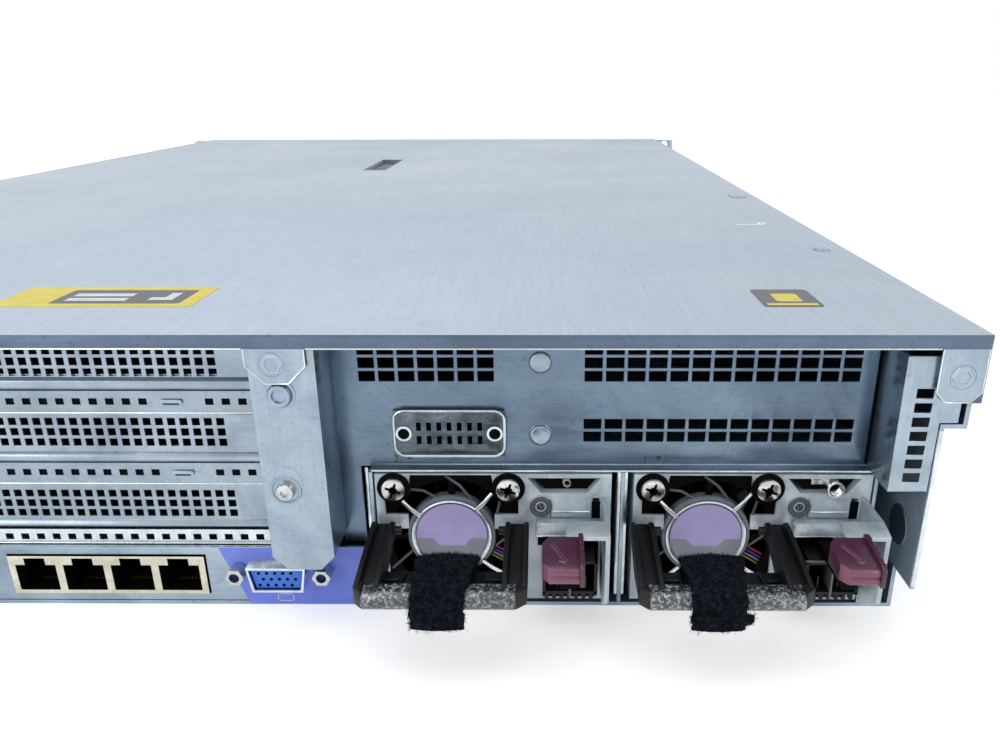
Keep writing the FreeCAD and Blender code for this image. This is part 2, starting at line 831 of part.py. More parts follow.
def make_side_vent_strip():
    """The narrow slotted strip at the right rear corner, flush with the cover, with its side wall."""
    body = new_body("SideVentStrip")
    outer = size.sheet + size.fit_gap - half_body
    ledge = from_top(size.shoulder_drop) + size.sheet + size.fit_gap
    low, high = size.vent_bottom_z, from_top(size.vent_top_drop) - size.flange_height
    pad(body, "XZ_Plane", depths(size.bracket_inset, size.bracket_inset + size.sheet), lambda s: polygon(s, [
        (size.strip_inner_x, low), (size.strip_inner_x, high), (size.strip_wide_x, high),
        (size.strip_wide_x, ledge), (outer, ledge), (outer, low),
    ]))
    pad(body, "XZ_Plane", depths(size.bracket_inset, size.vent_inset), lambda s: rectangle(
        s, (size.strip_inner_x - size.sheet, size.strip_inner_x), (low, high)))
    slot = pocket(body, "XZ_Plane", depths(0, size.bracket_inset + size.sheet * 2), lambda s: rectangle(
        s, (size.strip_slot_x, size.strip_slot_x + size.strip_slot_width),
        (from_top(size.strip_slot_drop), from_top(size.strip_slot_drop) + size.strip_slot_height)))
    pattern(body, slot, rows=(size.strip_slot_rows, size.strip_slot_pitch))
    return node("side_vent_strip", body)


def make_riser_bracket():
    """The bracket between the risers and the supplies: a face plate with a wall down each side."""
    body = new_body("RiserBracket")
    left, right = size.bracket_left_x, size.bracket_right_x
    low, high, chamfer = size.bracket_bottom_z, from_top(size.bracket_top_drop), size.bracket_chamfer
    near = size.bracket_inset
    pad(body, "XZ_Plane", depths(near, near + size.sheet), lambda s: polygon(s, [
        (right, high), (right, low + chamfer), (right + chamfer, low), (left - chamfer, low),
        (left, low + chamfer), (left, high),
    ]))
    for across in ((right, right + size.sheet), (left - size.sheet, left)):
        pad(body, "XZ_Plane", depths(near, size.vent_inset), lambda s: rectangle(
            s, across, (low + chamfer, high)))
    through = depths(0, near + size.sheet * 2)
    pocket(body, "XZ_Plane", through, lambda s: circle(
        s, size.plunger_x, size.plunger_z, size.plunger_hole_radius))
    pocket(body, "XZ_Plane", through, lambda s: circle(
        s, size.knob_x, from_top(size.knob_drop), size.knob_radius - size.knob_reach / 2))
    return node("riser_bracket", body)


def make_bracket_fittings():
    """The bracket's round knob and the spring plunger in its hole."""
    near = size.bracket_inset
    shank = rod("KnobShank", size.knob_radius - size.knob_reach, "y", x=size.knob_x,
                y=depths(near, near + size.sheet * 2), z=from_top(size.knob_drop))
    head = rod("KnobHead", size.knob_radius, "y", x=size.knob_x,
               y=depths(near - size.knob_reach, near), z=from_top(size.knob_drop))
    plunger = rod("Plunger", size.plunger_radius, "y", x=size.plunger_x,
                  y=depths(-size.plunger_reach, near + size.sheet * 3), z=size.plunger_z)
    collar = rod("PlungerCollar", size.plunger_hole_radius + size.sheet / 2, "y", x=size.plunger_x,
                 y=depths(near + size.sheet, near + size.sheet * 2), z=size.plunger_z)
    return node("bracket_fittings", group("BracketFittings", fuse("Knob", shank, head),
                                          fuse("PlungerSet", plunger, collar)))


# Port row ------------------------------------------------------------------------------------------

def jack_block_span(centre, count):
    """The X span of a block of network jacks."""
    half = (size.jack_pitch * (count - 1) + size.jack_opening_width) / 2 + size.jack_margin
    return (centre - half, centre + half)


def make_io_panel():
    """The low plate that frames the ports."""
    body = new_body("IoPanel")
    low, high = size.sheet + size.fit_gap, size.port_row_top_z
    end = half_body - size.sheet - size.fit_gap
    pad(body, "XZ_Plane", (face_y - size.sheet, face_y), lambda s: rectangle(
        s, (size.port_row_end_x, end), (low, high)))
    through = (face_y - size.sheet * 2, face_y + size.sheet)
    gap = size.fit_gap
    jack_z = (size.jack_bottom_z - gap, size.jack_bottom_z + size.jack_height + gap)
    for centre, count in ((size.jack_x, size.jack_count), (size.management_x, Size.of(1))):
        across = jack_block_span(centre, count)
        pocket(body, "XZ_Plane", through, lambda s: rectangle(
            s, (across[0] - gap, across[1] + gap), jack_z))
    half_width, half_height = size.video_width / 2 + gap, size.video_height / 2 + gap
    pocket(body, "XZ_Plane", through, lambda s: rectangle(
        s, (size.video_x - half_width, size.video_x + half_width),
        (size.video_z - half_height, size.video_z + half_height)))
    screw = pocket(body, "XZ_Plane", through, lambda s: circle(
        s, size.video_x - size.jackscrew_spacing / 2, size.video_z, size.jackscrew_hole_radius + gap))
    pattern(body, screw, columns=(Size.of(2), size.jackscrew_spacing))
    usb_half = size.usb_width / 2 + gap
    usb_z = (board_top_z - gap, board_top_z + size.usb_pitch + size.usb_height + gap)
    pocket(body, "XZ_Plane", through, lambda s: rectangle(
        s, (size.usb_x - usb_half, size.usb_x + usb_half), usb_z))
    pocket(body, "XZ_Plane", through, lambda s: circle(
        s, size.id_button_x, size.video_z, size.id_button_radius + gap))
    return node("io_panel", body)


def make_jack_block(name, centre, count):
    """A shielded block of network jacks with their latch notches upwards."""
    body = new_body(name)
    rear = face_y + size.jack_reach
    pad(body, "XZ_Plane", (rear - size.jack_depth, rear), lambda s: rectangle(
        s, jack_block_span(centre, count), (size.jack_bottom_z, size.jack_bottom_z + size.jack_height)))
    first = centre - size.jack_pitch * (count - 1) / 2
    half, half_notch = size.jack_opening_width / 2, size.jack_notch_width / 2
    low, top = size.jack_opening_z, size.jack_opening_z + size.jack_opening_height
    cavity = pocket(body, "XZ_Plane", (rear - size.jack_cavity_depth, rear + size.sheet),
                    lambda s: polygon(s, [
                        (first - half, low), (first + half, low), (first + half, top),
                        (first + half_notch, top), (first + half_notch, top + size.jack_notch_height),
                        (first - half_notch, top + size.jack_notch_height),
                        (first - half_notch, top), (first - half, top),
                    ]))
    if count.number > 1:
        pattern(body, cavity, columns=(count, size.jack_pitch))
    return body


def make_network_ports():
    blocks = [make_jack_block("NetworkBlock", size.jack_x, size.jack_count),
              make_jack_block("ManagementBlock", size.management_x, Size.of(1))]
    return node("network_ports", group("NetworkPorts", *blocks))


def make_network_contacts():
    """A comb of gold contacts on the floor of each jack."""
    body = new_body("ContactComb")
    rear = face_y + size.jack_reach - size.jack_cavity_depth
    span = size.contact_pitch * (size.contact_count - 1) + size.contact_width
    low = size.jack_opening_z
    pad(body, "XZ_Plane", (rear, rear + size.contact_width), lambda s: rectangle(
        s, (-span / 2, span / 2), (low, low + size.contact_height)))
    finger = pad(body, "XZ_Plane", (rear, rear + size.contact_length), lambda s: rectangle(
        s, (-span / 2, size.contact_width - span / 2), (low, low + size.contact_height)))
    pattern(body, finger, columns=(size.contact_count, size.contact_pitch))
    first = size.jack_x - size.jack_pitch * (size.jack_count - 1) / 2
    places = [first + size.jack_pitch * i for i in range(int(size.jack_count.number))]
    combs = [copy_of(f"Contacts{i}", body, x=x) for i, x in enumerate(places + [size.management_x])]
    return node("network_contacts", group("NetworkContacts", *combs))


def video_outline(inset):
    """The video connector's slanted outline, narrower at the bottom."""
    half_width, half_height = size.video_width / 2 - inset, size.video_height / 2 - inset
    lower_half = half_width - size.video_slant
    low, high = size.video_z - half_height, size.video_z + half_height
    return [
        (size.video_x - lower_half, low), (size.video_x + lower_half, low),
        (size.video_x + half_width, high), (size.video_x - half_width, high),
    ]


def make_video_port():
    """The video port: its metal shell on a flange, its insert and its two jackscrews."""
    shell = new_body("VideoShell")
    flange = (face_y - size.sheet * 2, face_y - size.sheet)
    half_width, half_height = size.video_flange_width / 2, size.video_flange_height / 2
    pad(shell, "XZ_Plane", flange, lambda s: rectangle(
        s, (size.video_x - half_width, size.video_x + half_width),
        (size.video_z - half_height, size.video_z + half_height)))
    pad(shell, "XZ_Plane", (flange[0], face_y + size.video_reach), lambda s: polygon(s, video_outline(0)))
    pocket(shell, "XZ_Plane", (flange[0] - size.sheet, face_y + size.video_reach + size.sheet),
           lambda s: polygon(s, video_outline(size.video_wall)))
    hole = pocket(shell, "XZ_Plane", (flange[0] - size.sheet, face_y), lambda s: circle(
        s, size.video_x - size.jackscrew_spacing / 2, size.video_z, size.jackscrew_hole_radius))
    pattern(shell, hole, columns=(Size.of(2), size.jackscrew_spacing))
    node("vga_shell", shell)

    insert = new_body("VideoInsert")
    pad(insert, "XZ_Plane", (flange[0], face_y + size.video_reach / 2), lambda s: polygon(
        s, video_outline(size.video_wall)))
    pin = pocket(insert, "XZ_Plane", (face_y, face_y + size.video_reach), lambda s: circle(
        s, size.video_x - size.video_pin_pitch * 2, size.video_z - size.video_pin_row_pitch,
        size.video_pin_radius))
    pattern(insert, pin, columns=(Size.of(5), size.video_pin_pitch),
            rows=(Size.of(3), size.video_pin_row_pitch))
    node("vga_insert", insert)

    hexagon_half = size.jackscrew_flat * 1.1547
    screws = []
    for index, side in enumerate((-1, 1)):
        centre = size.video_x + size.jackscrew_spacing * side / 2
        corners = [
            (centre + hexagon_half, size.video_z),
            (centre + hexagon_half / 2, size.video_z + size.jackscrew_flat),
            (centre - hexagon_half / 2, size.video_z + size.jackscrew_flat),
            (centre - hexagon_half, size.video_z),
            (centre - hexagon_half / 2, size.video_z - size.jackscrew_flat),
            (centre + hexagon_half / 2, size.video_z - size.jackscrew_flat),
        ]
        screw = new_body(f"Jackscrew{index}")
        pad(screw, "XZ_Plane", (face_y, face_y + size.jackscrew_length), lambda s: polygon(s, corners))
        pocket(screw, "XZ_Plane", (face_y - size.sheet, face_y + size.jackscrew_length + size.sheet),
               lambda s: circle(s, centre, size.video_z, size.jackscrew_hole_radius))
        screws.append(screw)
    node("vga_jackscrews", group("Jackscrews", *screws))


def make_usb_ports():
    """Two stacked USB sockets, each a shell with its tongue."""
    body = new_body("UsbSocket")
    low, high = board_top_z, board_top_z + size.usb_height
    half, wall = size.usb_width / 2, size.usb_wall
    rear = face_y + size.jack_reach
    pad(body, "XZ_Plane", (rear - size.usb_depth, rear), lambda s: rectangle(
        s, (size.usb_x - half, size.usb_x + half), (low, high)))
    pocket(body, "XZ_Plane", (rear - size.usb_depth + wall, rear + wall), lambda s: rectangle(
        s, (size.usb_x - half + wall, size.usb_x + half - wall), (low + wall, high - wall)))
    pad(body, "XZ_Plane", (rear - size.usb_depth, rear - wall * 2), lambda s: rectangle(
        s, (size.usb_x - half + wall * 2, size.usb_x + half - wall * 2),
        (high - wall * 2 - size.usb_tongue_height, high - wall * 2)))
    upper = copy_of("UpperUsbSocket", body, z=size.usb_pitch)
    return node("usb_ports", group("UsbPorts", body, upper))


def make_id_button():
    """The small push button in the port row, with its switch collar."""
    cap = rod("IdCap", size.id_button_radius, "y", x=size.id_button_x,
              y=(face_y - size.button_length, face_y + size.id_button_reach), z=size.video_z)
    collar_y = face_y - size.button_length / 2
    collar = rod("IdCollar", size.id_button_radius + size.button_collar, "y", x=size.id_button_x,
                 y=(collar_y - size.button_collar, collar_y), z=size.video_z)
    return node("id_button", fuse("IdButton", cap, collar))


# Risers --------------------------------------------------------------------------------------------

def slot_centre(index):
    return from_top(size.slot_top_drop) - slot_pitch * index


def make_riser_cages():
    """Two bent-sheet cages: a rear plate with three slot windows, and a top sheet over the cards."""
    body = new_body("RiserCage")
    left, right = size.riser_right_x, size.riser_right_x + size.riser_width
    plate_depth = size.vent_inset + size.slot_cover_thickness
    through = depths(plate_depth - size.sheet, plate_depth + size.sheet * 2)
    pad(body, "XZ_Plane", depths(plate_depth, plate_depth + size.sheet), lambda s: rectangle(
        s, (left, right), (size.riser_bottom_z, from_top(size.riser_top_drop))))
    pad(body, "XZ_Plane", depths(plate_depth, plate_depth + size.riser_length), lambda s: rectangle(
        s, (left, right), (from_top(size.riser_top_drop) - size.sheet, from_top(size.riser_top_drop))))
    window_left = left + size.slot_hole_margin
    window = pocket(body, "XZ_Plane", through, lambda s: rectangle(
        s, (window_left, right - size.slot_hole_margin),
        (size.slot_bottom_z - size.slot_window_height / 2,
         size.slot_bottom_z + size.slot_window_height / 2)))
    pattern(body, window, rows=(size.slot_count, slot_pitch))
    strip_z = slot_centre(1) - (slot_pitch + size.slot_hole) / 2
    hole = pocket(body, "XZ_Plane", through, lambda s: rectangle(
        s, (window_left, window_left + size.slot_hole), (strip_z, strip_z + size.slot_hole)))
    pattern(body, hole, columns=(size.strip_hole_columns, size.strip_hole_pitch),
            rows=(size.slot_count - 1, slot_pitch))
    primary = copy_of("PrimaryRiserCage", body, x=size.riser_pitch)
    return node("riser_cages", group("RiserCages", body, primary))


def make_slot_covers():
    """Six perforated slot covers, three on each riser cage."""
    body = new_body("SlotCover")
    left, right = size.riser_right_x, size.riser_right_x + size.riser_width
    half = size.slot_cover_height / 2
    pad(body, "XZ_Plane", depths(size.vent_inset, size.vent_inset + size.slot_cover_thickness),
        lambda s: rectangle(s, (left, right - size.fit_gap), (-half, half)))
    first_x = left + size.slot_hole_margin
    first_z = -(size.slot_hole_row_pitch * (size.slot_hole_rows - 1) + size.slot_hole) / 2
    hole = pocket(body, "XZ_Plane", depths(size.vent_inset - size.sheet, size.vent_inset + size.sheet * 2),
                  lambda s: rectangle(s, (first_x, first_x + size.slot_hole),
                                      (first_z, first_z + size.slot_hole)))
    pattern(body, hole, columns=(size.slot_hole_columns, size.slot_hole_pitch),
            rows=(size.slot_hole_rows, size.slot_hole_row_pitch))
    covers = [copy_of(f"SlotCover{side}{index}", body, x=size.riser_pitch * side, z=slot_centre(index))
              for side in (0, 1) for index in (0, 1, 2)]
    return node("slot_covers", group("SlotCovers", *covers))


def make_riser_boards():
    """The upright circuit boards in the cages, each with three card slots."""
    body = new_body("RiserBoard")
    plate_depth = size.vent_inset + size.slot_cover_thickness
    x = size.riser_right_x + size.slot_hole_margin / 2
    along = depths(plate_depth + size.slot_hole_margin * 2, plate_depth + size.riser_length)
    pad(body, "YZ_Plane", (x, x + size.riser_board_thickness), lambda s: rectangle(
        s, along, (board_top_z, from_top(size.riser_top_drop) - size.sheet)))
    low = size.slot_bottom_z - size.slot_hole * 2
    slot = pad(body, "YZ_Plane", (x, x + size.riser_board_thickness + size.slot_window_height),
               lambda s: rectangle(s, (along[0] + size.slot_hole_margin, along[1] - size.slot_hole_margin),
                                   (low, low + size.slot_hole * 3)))
    pattern(body, slot, rows=(size.slot_count, slot_pitch))
    primary = copy_of("PrimaryRiserBoard", body, x=size.riser_pitch)
    return node("riser_boards", group("RiserBoards", body, primary))


# System board --------------------------------------------------------------------------------------

def memory_banks():
    """The X of the first module in each of the four banks."""
    bank = size.memory_pitch * (size.memory_per_bank - 1)
    reach = size.sink_width / 2 + size.memory_bank_gap
    return [centre + offset for centre in (-size.socket_x, size.socket_x)
            for offset in (reach, -(reach + bank))]


def make_system_board():
    """The L-shaped main board with its memory sockets."""
    body = new_body("SystemBoard")
    side = half_body - size.sheet - size.board_margin
    inner = size.port_row_end_x + size.board_margin
    front = rear_y - size.board_front_depth
    wide, narrow = rear_y - size.board_wide_depth, face_y - size.sheet * 2 - size.fit_gap
    pad(body, "XY_Plane", (size.board_bottom_z, board_top_z), lambda s: polygon(s, [
        (-side, front), (side, front), (side, narrow), (inner, narrow), (inner, wide), (-side, wide),
    ]))
    middle = rear_y - size.socket_depth
    half_length = size.memory_length / 2 + size.board_margin
    for first in memory_banks():
        half = size.memory_socket_width / 2
        socket = pad(body, "XY_Plane", (size.board_bottom_z, board_top_z + size.memory_socket_height),
                     lambda s: rectangle(s, (first - half, first + half),
                                         (middle - half_length, middle + half_length)))
        pattern(body, socket, columns=(size.memory_per_bank, size.memory_pitch))
    return node("system_board", body)


def make_memory_modules():
    """Upright memory modules, seated on their sockets."""
    low = board_top_z + size.memory_socket_height
    middle = rear_y - size.socket_depth
    modules = []
    for bank, first in enumerate(memory_banks()):
        for index in range(int(size.memory_per_bank.number)):
            x = first + size.memory_pitch * index
            modules.append(block(f"Memory{bank}{index}",
                                 (x - size.memory_thickness / 2, x + size.memory_thickness / 2),
                                 (middle - size.memory_length / 2, middle + size.memory_length / 2),
                                 (low, low + size.memory_height)))
    return node("memory_modules", group("MemoryModules", *modules))


def make_processors():
    middle = rear_y - size.socket_depth
    half = size.processor_width / 2
    chips = [block(f"Processor{index}", (x - half, x + half), (middle - half, middle + half),
                   (board_top_z, board_top_z + size.processor_height))
             for index, x in enumerate((-size.socket_x, size.socket_x))]
    return node("processors", group("Processors", *chips))


def make_heatsinks():
    """A finned heatsink on each processor."""
    body = new_body("Heatsink")
    middle = rear_y - size.socket_depth
    half = size.sink_width / 2
    along = (middle - size.sink_length / 2, middle + size.sink_length / 2)
    low = board_top_z + size.processor_height
    pad(body, "XZ_Plane", along, lambda s: rectangle(s, (-half, half), (low, low + size.sink_base)))
    fin = pad(body, "XZ_Plane", along, lambda s: rectangle(
        s, (-half, size.fin_thickness - half), (low, low + size.sink_height)))
    fin_pitch = (size.sink_width - size.fin_thickness) / (size.fin_count - 1)
    pattern(body, fin, columns=(size.fin_count, fin_pitch))
    sinks = [copy_of(f"Heatsink{index}", body, x=x)
             for index, x in enumerate((-size.socket_x, size.socket_x))]
    return node("heatsinks", group("Heatsinks", *sinks))


def make_air_baffle():
    """The duct over the processors: a roof on the heatsinks, with side walls down to the board."""
    body = new_body("AirBaffle")
    outer = half_body - size.baffle_margin
    inner = outer - size.baffle_thickness
    roof = board_top_z + size.processor_height + size.sink_height + size.fit_gap
    top = roof + size.baffle_thickness
    near = size.board_wide_depth + size.baffle_margin
    pad(body, "XZ_Plane", depths(near, size.board_front_depth), lambda s: polygon(s, [
        (outer, board_top_z), (outer, top), (-outer, top), (-outer, board_top_z),
        (-inner, board_top_z), (-inner, roof), (inner, roof), (inner, board_top_z),
    ]))
    return node("air_baffle", body)


# Fans ----------------------------------------------------------------------------------------------

def make_rotor(name, hub, tip, length):
    """A fan rotor around the Y axis: a hub with slanted blades, centred on the origin."""
    body = new_body(name)
    pad(body, "XZ_Plane", (-length / 2, length / 2), lambda s: circle(s, 0, 0, hub))
    half, twist = size.blade_thickness / 2, size.blade_twist / 2
    chord = length / 2 - size.blade_thickness
    blade = pad(body, "XY_Plane", (hub - size.blade_thickness, tip - size.blade_thickness),
                lambda s: polygon(s, [
                    (-twist - half, -chord), (half - twist, -chord), (twist + half, chord),
                    (twist - half, chord),
                ]))
    spin_pattern(body, blade, size.blade_count)
    return body


def make_fan_frame(name, width, bore, hub, strut, near, far):
    """A square fan frame around the Y axis, with a hub plate held by a cross of struts at its rear."""
    body = new_body(name)
    half = width / 2
    pad(body, "XZ_Plane", (near, far), lambda s: rectangle(s, (-half, half), (-half, half)))
    pocket(body, "XZ_Plane", (near - strut, far + strut), lambda s: circle(s, 0, 0, bore))
    rear = (far - strut, far)
    arm = bore + strut / 2
    pad(body, "XZ_Plane", rear, lambda s: rectangle(s, (-arm, arm), (-strut / 2, strut / 2)))
    pad(body, "XZ_Plane", rear, lambda s: rectangle(s, (-strut / 2, strut / 2), (-arm, arm)))
    pad(body, "XZ_Plane", rear, lambda s: circle(s, 0, 0, hub))
    return body


def make_fan_row():
    """The fan cage across the chassis, its fan frames and their rotors."""
    cage = new_body("FanCage")
    count, pitch, bay = size.fan_count, size.fan_pitch, size.fan_bay_size
    first_x = -pitch * (count - 1) / 2
    low = size.sheet + size.fit_gap
    centre_z = low + size.sheet + bay / 2 + size.baffle_margin
    along = depths(size.fan_depth, size.fan_depth + size.fan_thickness)
    half = pitch * count / 2
    pad(cage, "XZ_Plane", along, lambda s: rectangle(s, (-half, half), (low, size.fan_cage_height)))
    opening = pocket(cage, "XZ_Plane", (along[0] - size.sheet, along[1] + size.sheet),
                     lambda s: rectangle(s, (first_x - bay / 2, first_x + bay / 2),
                                         (centre_z - bay / 2, centre_z + bay / 2)))
    pattern(cage, opening, columns=(count, pitch))
    node("fan_cage", cage)

    half_depth = size.fan_thickness / 2
    middle_y = along[0] + half_depth
    frame = make_fan_frame("FanFrame", size.fan_size, size.fan_bore_radius, size.fan_hub_radius,
                           size.fan_strut, -half_depth, half_depth)
    rotor = make_rotor("FanRotor", size.fan_hub_radius, size.fan_tip_radius, size.fan_rotor_length)
    rotor_y = middle_y + half_depth - size.fan_strut - size.fit_gap - size.fan_rotor_length / 2
    frames = []
    for index in range(int(count.number)):
        x = first_x + pitch * index
        frames.append(copy_of(f"FanFrame{index}", frame, x=x, y=middle_y, z=centre_z))
        node(f"fan_rotor_{index + 1}", copy_of(f"FanRotor{index}", rotor, x=x, y=rotor_y, z=centre_z))
    node("fan_frames", group("FanFrames", *frames))


# Drive bays ----------------------------------------------------------------------------------------

bay_inner_width = size.bay_pitch - size.bay_wall
bay_left_x = size.bay_right_x - size.bay_pitch * size.bay_count
drive_back_y = front_y + size.drive_length


def bay_centre(index):
    return size.bay_right_x - size.bay_pitch * (index + 0.5)


def make_drive_cage():
    """The upright drive bays behind the front face, open at both ends."""
    body = new_body("DriveCage")
    wall, low = size.bay_wall, size.bay_bottom_z
    floor = size.sheet + size.fit_gap
    pad(body, "XZ_Plane", (front_y + wall, drive_back_y + size.drive_travel_room), lambda s: rectangle(
        s, (bay_left_x - wall / 2, size.bay_right_x + wall / 2), (floor, low + bay_height + wall)))
    half = bay_inner_width / 2
    last = size.bay_right_x - size.bay_pitch * (size.bay_count - 0.5)
    bay = pocket(body, "XZ_Plane", (front_y, drive_back_y + size.drive_travel_room * 2),
                 lambda s: rectangle(s, (last - half, last + half), (low, low + bay_height)))
    pattern(body, bay, columns=(size.bay_count, size.bay_pitch))
    return node("drive_cage", body)


def make_backplane():
    """The upright board behind the drive bays, with a connector for each bay."""
    body = new_body("DriveBackplane")
    near = drive_back_y + size.drive_travel_room
    rear = near + size.backplane_thickness
    low, high = size.sheet + size.fit_gap, size.bay_bottom_z + bay_height
    pad(body, "XZ_Plane", (near, rear), lambda s: rectangle(s, (bay_left_x, size.bay_right_x), (low, high)))
    last = size.bay_right_x - size.bay_pitch * (size.bay_count - 0.5)
    half = size.bay_pitch / 4
    plug = pad(body, "XZ_Plane", (drive_back_y + size.fit_gap, rear), lambda s: rectangle(
        s, (last - half / 2, last + half / 2), (low + half * 2, high - half * 6)))
    pattern(body, plug, columns=(size.bay_count, size.bay_pitch))
    return node("drive_backplane", body)


def lever_pivot():
    """The drive lever's hinge line in Y and Z."""
    reach = size.lever_thickness / 2
    return front_y - size.drive_bezel - reach, size.bay_bottom_z + size.lever_end_gap + reach


def make_drives():
    """The hot-plug drives: a carrier with its bezel, and the lever hinged along the bezel's foot."""
    half = bay_inner_width / 2 - size.drive_side_gap
    low = size.bay_bottom_z + size.drive_side_gap
    high = size.bay_bottom_z + bay_height - size.drive_side_gap
    pivot_y, pivot_z = lever_pivot()
    lug = size.bay_wall
    for index in range(int(size.drive_count.number)):
        x = bay_centre(index)
        carrier = new_body(f"Drive{index}")
        pad(carrier, "XZ_Plane", (front_y - size.drive_bezel, drive_back_y), lambda s: rectangle(
            s, (x - half, x + half), (low, high)))
        reach = size.lever_thickness / 2
        for side in (-1, 1):
            lug_span = sorted((x + half * side, x + (half - lug) * side), key=lambda item: item.number)
            pad(carrier, "YZ_Plane", lug_span, lambda s: rectangle(
                s, (pivot_y - reach, front_y - size.drive_bezel + lug), (low, pivot_z + reach)))
        pocket(carrier, "YZ_Plane", (x - half - lug, x + half + lug), lambda s: circle(
            s, pivot_y, pivot_z, size.lever_pin_radius + size.running_gap))
        node(f"drive_{index + 1}", carrier)

        inside = (x - half + lug + size.fit_gap, x + half - lug - size.fit_gap)
        bar = block(f"LeverBar{index}", inside,
                    (pivot_y - reach, pivot_y + reach - size.fit_gap),
                    (pivot_z, high - size.lever_end_gap))
        knuckle = rod(f"LeverKnuckle{index}", reach - size.fit_gap, "x", x=inside, y=pivot_y, z=pivot_z)
        pin = rod(f"LeverPin{index}", size.lever_pin_radius, "x", x=(x - half, x + half),
                  y=pivot_y, z=pivot_z)
        node(f"drive_lever_{index + 1}", fuse(f"DriveLever{index}", bar, knuckle, pin))


def make_bay_blanks():
    """Slotted blanks in the empty bays, and the wide slotted panel beside the drive cage."""
    low = size.bay_bottom_z + size.drive_side_gap
    high = size.bay_bottom_z + bay_height - size.drive_side_gap
    half = bay_inner_width / 2 - size.drive_side_gap
    margin = size.blank_slot_height

    def blank(name, across, back):
        body = new_body(name)
        pad(body, "XZ_Plane", (front_y - size.blank_bezel, back),
            lambda s: rectangle(s, across, (low, high)))
        slot = pocket(body, "XZ_Plane", (front_y - size.drive_bezel, back + size.drive_bezel),
                      lambda s: rectangle(s, (across[0] + margin, across[1] - margin),
                                          (low + margin * 3, low + margin * 4)))
        pattern(body, slot, rows=(size.blank_slot_count, size.blank_slot_pitch))
        return body

    first = int(size.drive_count.number)
    count = int(size.bay_count.number)
    small = blank("BayBlank", (-half, half), front_y + size.blank_bezel * 3)
    blanks = [copy_of(f"BayBlank{i}", small, x=bay_centre(i)) for i in range(first, count)]
    wide_span = (size.sheet + size.fit_gap - half_body, bay_left_x - size.bay_wall)
    blanks.append(blank("WideBlank", wide_span, front_y + size.blank_bezel))
    return node("bay_blanks", group("BayBlanks", *blanks))


# Power supplies ------------------------------------------------------------------------------------

def from_supply(x):
    """The X of a place counted across a supply from its side nearest the ports."""
    return supply_left_x - x


def supply_span(x, width):
    return (from_supply(x + width), from_supply(x))


def supply_z(z):
    return size.supply_bottom_z + z


def make_supply_cage():
    """The supplies' bay: two floor-standing side walls, the divider between them and the roof."""
    body = new_body("SupplyCage")
    roof = (supply_top_z + size.supply_wall_gap, supply_top_z + size.supply_wall_gap + size.sheet)
    floor = size.sheet
    gap = size.supply_wall_gap
    right = supply_left_x - size.supply_width - gap - size.sheet
    left = supply_left_x + size.supply_pitch + gap + size.sheet
    along = depths(size.vent_inset + size.sheet, size.overhang + size.supply_length + size.overhang)
    side_along = depths(size.overhang, size.overhang + size.supply_length + size.overhang)
    pad(body, "XZ_Plane", along, lambda s: rectangle(s, (right, left), roof))
    divider = supply_left_x + (size.supply_pitch - size.supply_width) / 2
    for x in (right, divider - size.sheet / 2, left - size.sheet):
        pad(body, "XZ_Plane", side_along, lambda s: rectangle(s, (x, x + size.sheet), (floor, roof[0])))
    return node("supply_cage", body)


